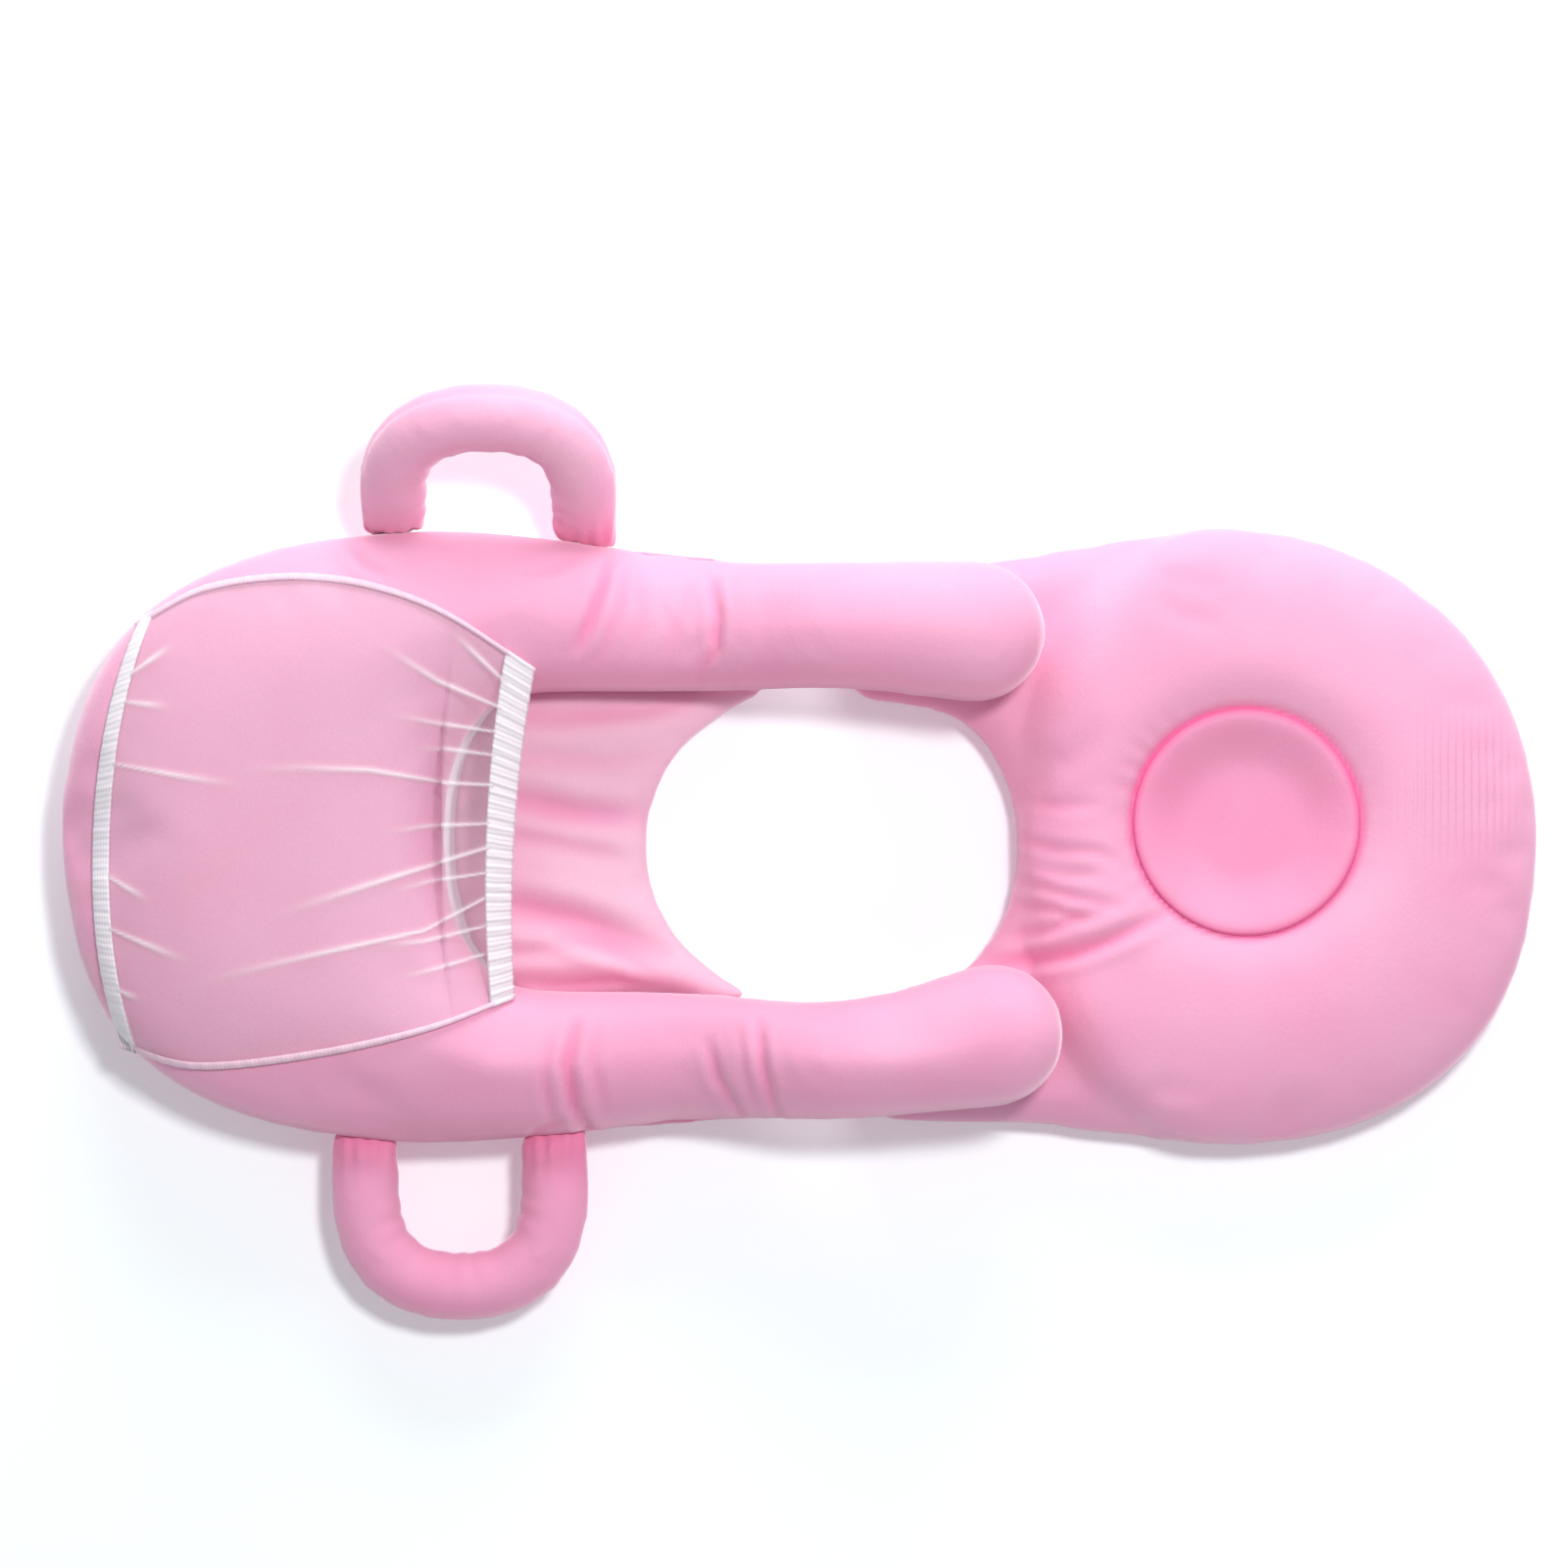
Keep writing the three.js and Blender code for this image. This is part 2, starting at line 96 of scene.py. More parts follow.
HEAD_LOW, HEAD_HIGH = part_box("head_top_cover")


# ---- sizes and colours ----
def metres(name, description, default):
    return FloatProperty(name=name, description=description, default=default, unit="LENGTH", precision=4)


def colour(name, description, default):
    return FloatVectorProperty(
        name=name, description=description, default=default, size=3, subtype="COLOR", min=0.0, max=1.0
    )


class PillowSizes(bpy.types.PropertyGroup):
    voxel: metres("Grain", "Voxel size of the cushions before they are subdivided", 0.0045)
    fine_voxel: metres("Fine grain", "Voxel size of the handles and the seat pad", 0.0035)
    pressure: FloatProperty(name="Pressure", description="How hard the cushions are blown up", default=4.0)
    swell: metres("Swell", "Furthest that the blowing up may move a point", 0.006)
    crown: metres("Crown", "Extra height in the middle of the broad parts", 0.007)
    cover: metres("Cover", "Thickness of the cover cloth", 0.0016)
    ramp_start: metres("Ramp start", "Where the arms start to climb", -0.0643)
    ramp_end: metres("Ramp end", "Where the arms have climbed onto the head pillow", 0.0197)
    arm_lift: metres("Arm lift", "How high the arms climb", 0.0305)
    arm_cut: metres("Arm cut", "Where the bolster's cover hands over to the arms' covers", -0.036)
    arm_bend: metres("Arm bend", "Where an arm follows its lift fully", 0.03)


class PillowColours(bpy.types.PropertyGroup):
    plush: colour("Plush", "Cover cloth in full light", (0.87, 0.40, 0.59))
    # painted shade: the cloth's colour in folds, seams and under edges, where shade falls
    plush_painted_shade: colour("Deep plush", "Cover cloth in folds and under edges", (0.86, 0.10, 0.32))
    # painted light: a paler cloth colour, laid on the seat pad and the far handle; the random mottle reaches it a
    # little too
    plush_painted_light: colour("Pale plush", "Cover cloth where it is brushed up or stretched", (0.95, 0.80, 0.89))
    net: colour("Net", "Sheer net", (0.80, 0.66, 0.78))
    elastic: colour("Elastic", "Elastic and binding", (0.86, 0.80, 0.86))
    hem: colour("Hem", "Net folded double along its sewn sides", (0.88, 0.60, 0.74))
    fibre: colour("Fibre", "Stuffing", (0.93, 0.92, 0.90))
    floor: colour("Floor", "Studio floor", (0.92, 0.98, 1.0))


def sizes():
    return bpy.context.scene.pillow_sizes


def colours():
    return bpy.context.scene.pillow_colours


# ---- mesh helpers ----
def smooth_step(t):
    t = np.clip(t, 0.0, 1.0)
    return t * t * (3 - 2 * t)


def bell(distance, width, power=2):
    """A smooth bump: 1 where the distance is 0, and close to 0 beyond twice the width."""
    return np.exp(-((distance / width) ** power))


def lift_at(x):
    """How far the bolster's arms are raised at a place along them."""
    s = sizes()
    return s.arm_lift * smooth_step((x - s.ramp_start) / (s.ramp_end - s.ramp_start))


def new_object(name, mesh):
    obj = bpy.data.objects.new(name, mesh)
    bpy.context.scene.collection.objects.link(obj)
    return obj


def object_from(name, bm):
    mesh = bpy.data.meshes.new(name)
    bm.to_mesh(mesh)
    bm.free()
    return new_object(name, mesh)


def joined_copy(name, nodes):
    bm = bmesh.new()
    for node in nodes:
        bm.from_mesh(frame["nodes"][node].data)
    bmesh.ops.remove_doubles(bm, verts=bm.verts, dist=1e-5)
    return object_from(name, bm)


def vertex_values(mesh, name):
    flat = np.empty(len(mesh.vertices) * 3, np.float32)
    mesh.vertices.foreach_get(name, flat)
    return flat.reshape(-1, 3).astype(float)


def points_of(mesh):
    return vertex_values(mesh, "co")


def normals_of(mesh):
    return vertex_values(mesh, "normal")


def put_points(mesh, points):
    mesh.vertices.foreach_set("co", points.astype(np.float32).ravel())
    mesh.update()


@contextmanager
def editing(obj):
    """A bmesh of an object's mesh, which is written back at the end."""
    bm = bmesh.new()
    bm.from_mesh(obj.data)
    yield bm
    bm.to_mesh(obj.data)
    bm.free()


def bake_modifiers(obj):
    graph = bpy.context.evaluated_depsgraph_get()
    mesh = bpy.data.meshes.new_from_object(obj.evaluated_get(graph), depsgraph=graph)
    old = obj.data
    obj.modifiers.clear()
    obj.data = mesh
    bpy.data.meshes.remove(old)


def remesh(obj, voxel):
    modifier = obj.modifiers.new("Remesh", "REMESH")
    modifier.mode = "VOXEL"
    modifier.voxel_size = voxel
    bake_modifiers(obj)


def relax(obj, repeats):
    axes = {"use_axis_x": True, "use_axis_y": True, "use_axis_z": True}
    with editing(obj) as bm:
        for _ in range(repeats):
            bmesh.ops.smooth_vert(bm, verts=bm.verts, factor=0.5, **axes)


def subdivide(obj):
    modifier = obj.modifiers.new("Subdivision", "SUBSURF")
    modifier.levels = 1
    modifier.render_levels = 1
    bake_modifiers(obj)


def blow_up(obj, pressure, cap, frames=20):
    """Swells a closed cushion as cloth under pressure, and holds each point within cap of its start."""
    start = points_of(obj.data)
    scene = bpy.context.scene
    cloth = obj.modifiers.new("Cloth", "CLOTH")
    cloth.settings.use_pressure = True
    cloth.settings.uniform_pressure_force = pressure
    cloth.settings.effector_weights.gravity = 0
    cloth.settings.quality = 4
    cloth.point_cache.frame_start = 1
    cloth.point_cache.frame_end = frames
    for step in range(1, frames + 1):
        scene.frame_set(step)
    bake_modifiers(obj)
    scene.frame_set(1)
    end = points_of(obj.data)
    move = end - start
    far = np.linalg.norm(move, axis=1, keepdims=True)
    # The stretch levels off smoothly towards the cap, so that it shows no edge.
    held = cap * np.tanh(far / cap)
    put_points(obj.data, start + move * held / np.maximum(far, 1e-9))


def rest_on_floor(obj):
    """Flattens a piece where it would sink into what it lies on."""
    points = points_of(obj.data)
    points[:, 2] = np.maximum(points[:, 2], 0.0)
    put_points(obj.data, points)


def rim_distance(points, normals, seam):
    """Distance in plan from each point to the cushion's outline."""
    rim = points[(np.abs(points[:, 2] - seam) < RIM_BAND) & (np.abs(normals[:, 2]) < 0.5)]
    tree = KDTree(len(rim))
    for i, (x, y, _) in enumerate(rim):
        tree.insert((x, y, 0), i)
    tree.balance()
    return np.array([tree.find((x, y, 0))[2] for x, y, _ in points])


def line_distance(points, line):
    """Distance from each point to a polyline, and how far along the line it lies, from 0 to 1."""
    line = np.asarray(line, float)
    size = line.shape[1]
    lengths = np.linalg.norm(np.diff(line, axis=0), axis=1)
    total = lengths.sum()
    best = np.full(len(points), 1e9)
    along = np.zeros(len(points))
    done = 0.0
    for a, b, length in zip(line[:-1], line[1:], lengths):
        t = np.clip(((points[:, :size] - a) @ (b - a)) / length**2, 0, 1)
        d = np.linalg.norm(points[:, :size] - (a + t[:, None] * (b - a)), axis=1)
        closer = d < best
        best[closer] = d[closer]
        along[closer] = (done + t[closer] * length) / total
        done += length
    return best, along


def fold(obj, line, width, depth, ridge=0.35):
    """Presses a soft fold along a line seen from above, with a low ridge on each side of it.

    It also adds painted shade to the shade attribute, which darkens the cloth in folds."""
    mesh = obj.data
    points, normals = points_of(mesh), normals_of(mesh)
    d, along = line_distance(points, line)
    fade = np.clip(np.sin(np.pi * np.clip(along, 0.0, 1.0)), 0, 1) ** 0.6
    ends = (along <= 0.001) | (along >= 0.999)
    fade = np.where(ends, fade * bell(d, width), fade)
    top = smooth_step(normals[:, 2] * 3)
    groove = bell(d, width)
    bank = bell(d - 2.1 * width, width)
    put_points(mesh, points + normals * ((ridge * bank - groove) * depth * fade * top)[:, None])
    shade_add(mesh, groove * fade * top * min(1.0, depth / DEEPEST_FOLD))


def shade_add(mesh, amount):
    attribute = mesh.attributes.get("shade") or mesh.attributes.new("shade", "FLOAT", "POINT")
    values = np.empty(len(mesh.vertices), np.float32)
    attribute.data.foreach_get("value", values)
    attribute.data.foreach_set("value", np.clip(values + amount, -1, 1).astype(np.float32))


def mark(mesh, name, values):
    attribute = mesh.attributes.get(name) or mesh.attributes.new(name, "FLOAT", "POINT")
    attribute.data.foreach_set("value", np.clip(values, 0, 1).astype(np.float32))


def shade_edges(mesh):
    """Sides that turn away from the light lie deeper in colour."""
    up = normals_of(mesh)[:, 2]
    shade_add(mesh, SIDE_SHADE * (1 - smooth_step(up / SIDE_TURN)))


def seam_groove(obj, seam_height):
    """Draws in the side seam, which shows only where the surface stands upright."""
    mesh = obj.data
    points, normals = points_of(mesh), normals_of(mesh)
    away = points[:, 2] - seam_height(points[:, 0])
    groove = bell(away, SEAM_WIDTH) * smooth_step(1.6 - 2 * np.abs(normals[:, 2]))
    put_points(mesh, points - normals * (groove * SEAM_DEPTH)[:, None])
    # painted shade in the seam's groove
    shade_add(mesh, 0.6 * groove)


def shade_smooth(mesh):
    mesh.polygons.foreach_set("use_smooth", np.ones(len(mesh.polygons), bool))
    mesh.update()


def finish_piece(obj, body, material, nodes=()):
    shade_smooth(obj.data)
    obj.data.materials.clear()
    obj.data.materials.append(material)
    if body:
        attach(obj, body)
    if nodes:
        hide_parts(*nodes)
    return obj


def part_of(obj, name, keep):
    """A copy of the faces of obj whose middles pass a test."""
    bm = bmesh.new()
    bm.from_mesh(obj.data)
    gone = [face for face in bm.faces if not keep(face.calc_center_median())]
    bmesh.ops.delete(bm, geom=gone, context="FACES")
    return object_from(name, bm)


def cut_flat(obj, point, normal):
    with editing(obj) as bm:
        geometry = bm.verts[:] + bm.edges[:] + bm.faces[:]
        bmesh.ops.bisect_plane(bm, geom=geometry, plane_co=point, plane_no=normal, dist=1e-6)


def shift_z(obj, amount_at):
    points = points_of(obj.data)
    points[:, 2] += amount_at(points[:, 0])
    put_points(obj.data, points)


def thicken(obj, thickness):
    """Gives an open sheet its cloth's thickness inwards. A sharp crease gets no spike."""
    modifier = obj.modifiers.new("Solidify", "SOLIDIFY")
    modifier.thickness = thickness
    modifier.offset = -1
    modifier.use_even_offset = False
    bake_modifiers(obj)


def wall(obj, thickness, normals):
    """Gives an open cover shell its cloth's thickness, and keeps the form's normals outside."""
    thicken(obj, thickness)
    mesh = obj.data
    shade_smooth(mesh)
    tree, table = normals
    own = normals_of(mesh)
    for vertex in mesh.vertices:
        _, index, away = tree.find(vertex.co)
        if away < 1e-6:
            own[vertex.index] = table[index]
    mesh.normals_split_custom_set_from_vertices([tuple(n) for n in own])


def normal_table(obj):
    mesh = obj.data
    tree = KDTree(len(mesh.vertices))
    for vertex in mesh.vertices:
        tree.insert(vertex.co, vertex.index)
    tree.balance()
    return tree, normals_of(mesh)


def stuffing(name, source, body, material, shrink, node, coarse=1.8):
    """The filling inside a cover: a coarser, lumpier copy that stays well inside it."""
    obj = new_object(name, source.data.copy())
    remesh(obj, sizes().voxel * coarse)
    points, normals = points_of(obj.data), normals_of(obj.data)
    lumps = LUMPS * np.sin(points[:, 0] * 210) * np.sin(points[:, 1] * 190 + 1) * np.sin(points[:, 2] * 230)
    put_points(obj.data, points - normals * (shrink + lumps)[:, None])
    relax(obj, 2)
    return finish_piece(obj, body, material, (node,))


def mm(*points):
    return [tuple(value / 1000 for value in point) for point in points]


# ---- materials ----
def node(tree, kind, **values):
    made = tree.nodes.new(kind)
    for key, value in values.items():
        if key in made.inputs:
            made.inputs[key].default_value = value
        else:
            setattr(made, key, value)
    return made


def fill(target, values):
    for key, value in values.items():
        target.inputs[key].default_value = value


def link(tree, source, target):
    tree.links.new(source, target)


def bands(tree, vector, direction, scale, distortion, **more):
    """Wavy parallel bands, for ribs and threads."""
    wave = node(tree, "ShaderNodeTexWave", wave_type="BANDS", bands_direction=direction, Scale=scale, **more)
    wave.inputs["Distortion"].default_value = distortion
    link(tree, vector, wave.inputs["Vector"])
    return wave.outputs["Fac"]


def colour_mix(tree, low, high, factor):
    mix = node(tree, "ShaderNodeMix", data_type="RGBA")
    fill(mix, {"A": (*low, 1), "B": (*high, 1)})
    link(tree, factor, mix.inputs["Factor"])
    return mix


def nap_group():
    """Cloth nap: a slow mottle for colour, and a height for the bump of a brushed, slightly fuzzy face."""
    group = bpy.data.node_groups.get("cloth_nap")
    if group:
        return group
    group = bpy.data.node_groups.new("cloth_nap", "ShaderNodeTree")
    face = group.interface
    face.new_socket("Grain", in_out="INPUT", socket_type="NodeSocketFloat").default_value = 900.0
    face.new_socket("Mottle Scale", in_out="INPUT", socket_type="NodeSocketFloat").default_value = 22.0
    face.new_socket("Height", in_out="OUTPUT", socket_type="NodeSocketFloat")
    face.new_socket("Mottle", in_out="OUTPUT", socket_type="NodeSocketFloat")
    enter = group.nodes.new("NodeGroupInput")
    leave = group.nodes.new("NodeGroupOutput")
    place = node(group, "ShaderNodeTexCoord")
    fine = node(group, "ShaderNodeTexNoise", Detail=3.0, Roughness=0.65)
    slow = node(group, "ShaderNodeTexNoise", Detail=2.0, Roughness=0.5)
    stretch = node(group, "ShaderNodeMapping")
    stretch.inputs["Scale"].default_value = (1.0, 0.55, 1.0)
    link(group, place.outputs["Object"], stretch.inputs["Vector"])
    link(group, stretch.outputs["Vector"], fine.inputs["Vector"])
    link(group, place.outputs["Object"], slow.inputs["Vector"])
    link(group, enter.outputs["Grain"], fine.inputs["Scale"])
    link(group, enter.outputs["Mottle Scale"], slow.inputs["Scale"])
    link(group, fine.outputs["Fac"], leave.inputs["Height"])
    link(group, slow.outputs["Fac"], leave.inputs["Mottle"])
    return group


def blank_material(name):
    material = bpy.data.materials.new(name)
    material.use_nodes = True
    tree = material.node_tree
    shader = tree.nodes["Principled BSDF"]
    return material, tree, shader


def add_bump(tree, shader, height, strength, distance):
    bump = node(tree, "ShaderNodeBump", Strength=strength, Distance=distance)
    link(tree, height, bump.inputs["Height"])
    link(tree, bump.outputs["Normal"], shader.inputs["Normal"])


def plush_material():
    """Brushed pink knit, with painted shade, deep pink in folds, seams and on the sides, and painted light, paler
    where the shade attribute goes below zero.
    """
    if "plush_cloth" in bpy.data.materials:
        return bpy.data.materials["plush_cloth"]
    material, tree, shader = blank_material("plush_cloth")
    nap = node(tree, "ShaderNodeGroup", node_tree=nap_group())
    fill(nap, {"Grain": 700.0, "Mottle Scale": 20.0})
    shade = node(tree, "ShaderNodeAttribute", attribute_name="shade")
    wave = node(tree, "ShaderNodeMath", operation="MULTIPLY_ADD")
    fill(wave, {1: 0.34, 2: -0.14})
    link(tree, nap.outputs["Mottle"], wave.inputs[0])
    total = node(tree, "ShaderNodeMath", operation="ADD")
    link(tree, shade.outputs["Fac"], total.inputs[0])
    link(tree, wave.outputs[0], total.inputs[1])
    # painted light: the shade attribute's part below zero makes the cloth paler
    painted_light = node(tree, "ShaderNodeMath", operation="MULTIPLY", use_clamp=True)
    painted_light.inputs[1].default_value = -1.0
    link(tree, total.outputs[0], painted_light.inputs[0])
    # painted shade: the shade attribute darkens the cloth towards the deep pink
    ramp = colour_mix(tree, colours().plush, colours().plush_painted_shade, total.outputs[0])
    pale = colour_mix(tree, colours().plush, colours().plush_painted_light, painted_light.outputs[0])
    link(tree, ramp.outputs["Result"], pale.inputs["A"])
    link(tree, pale.outputs["Result"], shader.inputs["Base Color"])
    fill(shader, {
        "Roughness": 0.86, "Specular IOR Level": 0.25, "Sheen Weight": 0.9, "Sheen Roughness": 0.4,
        "Sheen Tint": (1.0, 0.86, 0.93, 1),
    })
    ripple = node(tree, "ShaderNodeAttribute", attribute_name="ripple")
    place = node(tree, "ShaderNodeTexCoord")
    waves = bands(tree, place.outputs["Object"], "X", 85.0, 0.8, **{"Detail Scale": 0.6})
    height = node(tree, "ShaderNodeMath", operation="MULTIPLY_ADD")
    drawn = node(tree, "ShaderNodeMath", operation="MULTIPLY")
    link(tree, waves, drawn.inputs[0])
    link(tree, ripple.outputs["Fac"], drawn.inputs[1])
    height.inputs[1].default_value = 0.35
    link(tree, nap.outputs["Height"], height.inputs[0])
    link(tree, drawn.outputs[0], height.inputs[2])
    add_bump(tree, shader, height.outputs[0], 0.5, 0.0012)
    return material


def net_material():
    """Sheer white net: fine open cells, denser and whiter where it is gathered."""
    material, tree, shader = blank_material("sheer_net_cloth")
    uv = node(tree, "ShaderNodeUVMap", uv_map="cloth")
    gather = node(tree, "ShaderNodeAttribute", attribute_name="gather")
    cells = node(tree, "ShaderNodeMath", operation="MAXIMUM")
    for socket, direction in enumerate("XY"):
        threads = bands(tree, uv.outputs["UV"], direction, 620.0, 0.6, Detail=1.0)
        link(tree, threads, cells.inputs[socket])
    body = node(tree, "ShaderNodeMapRange")
    fill(body, {"From Min": 0.3, "To Min": 0.14, "To Max": 0.36})
    link(tree, cells.outputs[0], body.inputs["Value"])
    dense = node(tree, "ShaderNodeMath", operation="MULTIPLY_ADD", use_clamp=True)
    dense.inputs[1].default_value = 0.45
    link(tree, gather.outputs["Fac"], dense.inputs[0])
    link(tree, body.outputs["Result"], dense.inputs[2])
    link(tree, dense.outputs[0], shader.inputs["Alpha"])
    tone = colour_mix(tree, colours().net, (1.0, 0.97, 0.99), gather.outputs["Fac"])
    link(tree, tone.outputs["Result"], shader.inputs["Base Color"])
    fill(shader, {"Roughness": 0.6, "Sheen Weight": 0.2})
    add_bump(tree, shader, cells.outputs[0], 0.25, 0.0003)
    return material


def elastic_material(name, tint):
    """A woven band: fine ribs along its length, with painted shade between its gathers."""
    material, tree, shader = blank_material(name)
    uv = node(tree, "ShaderNodeUVMap", uv_map="cloth")
    rib = bands(tree, uv.outputs["UV"], "X", 190.0, 0.5)
    cross = bands(tree, uv.outputs["UV"], "Y", 110.0, 1.5)
    both = node(tree, "ShaderNodeMath", operation="MULTIPLY_ADD")
    both.inputs[1].default_value = 0.6
    link(tree, rib, both.inputs[0])
    link(tree, cross, both.inputs[2])
    gather = node(tree, "ShaderNodeAttribute", attribute_name="gather")
    # painted shade: the band is darker in the troughs of its gathers
    tone = colour_mix(tree, [part * 0.92 for part in tint], tint, gather.outputs["Fac"])
    link(tree, tone.outputs["Result"], shader.inputs["Base Color"])
    fill(shader, {"Roughness": 0.75, "Sheen Weight": 0.2})
    add_bump(tree, shader, both.outputs[0], 0.4, 0.0004)
    return material


def fibre_material():
    """Loose white polyester fibre."""
    if "stuffing_fibre" in bpy.data.materials:
        return bpy.data.materials["stuffing_fibre"]
    material, tree, shader = blank_material("stuffing_fibre")
    nap = node(tree, "ShaderNodeGroup", node_tree=nap_group())
    fill(nap, {"Grain": 260.0, "Mottle Scale": 60.0})
    tone = colour_mix(tree, (0.80, 0.79, 0.77), colours().fibre, nap.outputs["Mottle"])
    link(tree, tone.outputs["Result"], shader.inputs["Base Color"])
    shader.inputs["Roughness"].default_value = 1.0
    add_bump(tree, shader, nap.outputs["Height"], 0.8, 0.002)
    return material


# ---- operators ----
VIEW_WIDTH = 0.7378
VIEW_CENTRE = Vector((-0.0097, 0.0336, 0.045))


class PILLOW_OT_stage(bpy.types.Operator):
    """Makes the camera, the pale floor and the soft studio light"""

    bl_idname = "pillow.stage"
    bl_label = "Stage"

    def execute(self, context):
        scene = context.scene
        camera_data = bpy.data.cameras.new("camera")
        camera_data.lens = 150
        camera_data.sensor_width = 36
        camera = bpy.data.objects.new("camera", camera_data)
        scene.collection.objects.link(camera)
        away = VIEW_WIDTH * camera_data.lens / camera_data.sensor_width
        camera.location = VIEW_CENTRE + Vector((0, 0, away))
        scene.camera = camera

        bm = bmesh.new()
        bmesh.ops.create_grid(bm, x_segments=1, y_segments=1, size=6)
        floor = object_from("floor", bm)
        material, tree, shader = blank_material("studio_floor")
        fill(shader, {
            "Base Color": (*colours().floor, 1), "Roughness": 0.9, "Specular IOR Level": 0.0,
            "Emission Color": (0.95, 0.98, 1.0, 1), "Emission Strength": 0.16,
        })
        floor.data.materials.append(material)

        lights = (
            ("key", (0.44, 0.56, 2.19), 0.3, 29.0, (1.0, 0.985, 0.97)),
            ("back", (0.1, 2.3, 0.75), 1.6, 48.0, (1.0, 0.99, 0.98)),
        )
        for name, place, size, power, tint in lights:
            data = bpy.data.lights.new(name, "AREA")
            data.size = size
            data.energy = power
            data.color = tint
            lamp = bpy.data.objects.new(name, data)
            lamp.location = place
            lamp.rotation_mode = "QUATERNION"
            lamp.rotation_quaternion = (Vector((0, 0, 0)) - Vector(place)).to_track_quat("-Z", "Y")
            scene.collection.objects.link(lamp)

        world = bpy.data.worlds.new("studio")
        world.use_nodes = True
        background = world.node_tree.nodes["Background"]
        fill(background, {"Color": (0.94, 0.97, 1.0, 1), "Strength": 0.38})
        scene.world = world
        scene.view_settings.view_transform = "Standard"
        return {"FINISHED"}


def bolster_seam(x):
    return SEAM_Z + lift_at(x)


CROWN_REACH = 0.065  # a cushion has its full crown this far in from its outline


def cushion_form(name, nodes, voxel, seam, grow=0.0015, prepare=None, crown_mask=None):
    """The closed outer form of a cushion, blown up from its filling's shape."""
    s = sizes()
    form = joined_copy(name, nodes)
    if prepare:
        prepare(form)
    remesh(form, voxel)
    relax(form, 3)
    points, normals = points_of(form.data), normals_of(form.data)
    if crown_mask is not None:
        flat = points.copy()
        flat[:, 2] -= seam(points[:, 0]) - SEAM_Z
        far = rim_distance(flat, normals, SEAM_Z)
        rise = s.crown * smooth_step(far / CROWN_REACH) * smooth_step(normals[:, 2] * 2) * crown_mask(points)
        points[:, 2] += rise
    put_points(form.data, points + normals * grow)
    blow_up(form, s.pressure, s.swell)
    relax(form, 1)
    subdivide(form)
    rest_on_floor(form)
    return form


BOLSTER_FOLDS = (
    # points from one end to the other, width and depth, all in mm
    (((-92, 141), (-95, 126), (-100, 110), (-107, 94)), 2.7, 2.8),
    (((-84, 138), (-86, 118), (-92, 98), (-98, 88)), 2.5, 1.0),
    (((-78, 136), (-76, 112), (-80, 92)), 2.5, 0.7),
    (((-44, 132), (-41, 112), (-42, 96), (-52, 82)), 2.6, 2.2),
    (((-55, 130), (-58, 112), (-66, 94)), 2.5, 0.6),
    (((-119, -82), (-122, -104), (-118, -130)), 2.5, 1.1),
    (((-106, -74), (-111, -98), (-108, -118), (-99, -138)), 2.8, 2.8),
    (((-97, -76), (-99, -98), (-93, -122)), 2.5, 0.9),
    (((-46, -84), (-41, -104), (-28, -126)), 2.6, 1.7),
    (((-31, -78), (-28, -100), (-19, -128)), 2.5, 0.8),
    (((-22, -74), (-20, -98), (-12, -128)), 2.6, 2.0),
    (((-132, -140), (-126, -130), (-112, -124)), 2.5, 1.4),
    (((-216, 148), (-206, 137), (-194, 131)), 2.5, 1.4),
    (((-104, 141), (-118, 133), (-134, 130)), 2.5, 0.8),
    (((-68, 120), (-60, 104), (-66, 86)), 2.5, 0.5),
)


JOINT_OVERLAP = 0.004  # the arms' fillings are drawn into the bolster's, so that they join
STUFFING_GAP = 0.006  # between a cover's outside and its stuffing


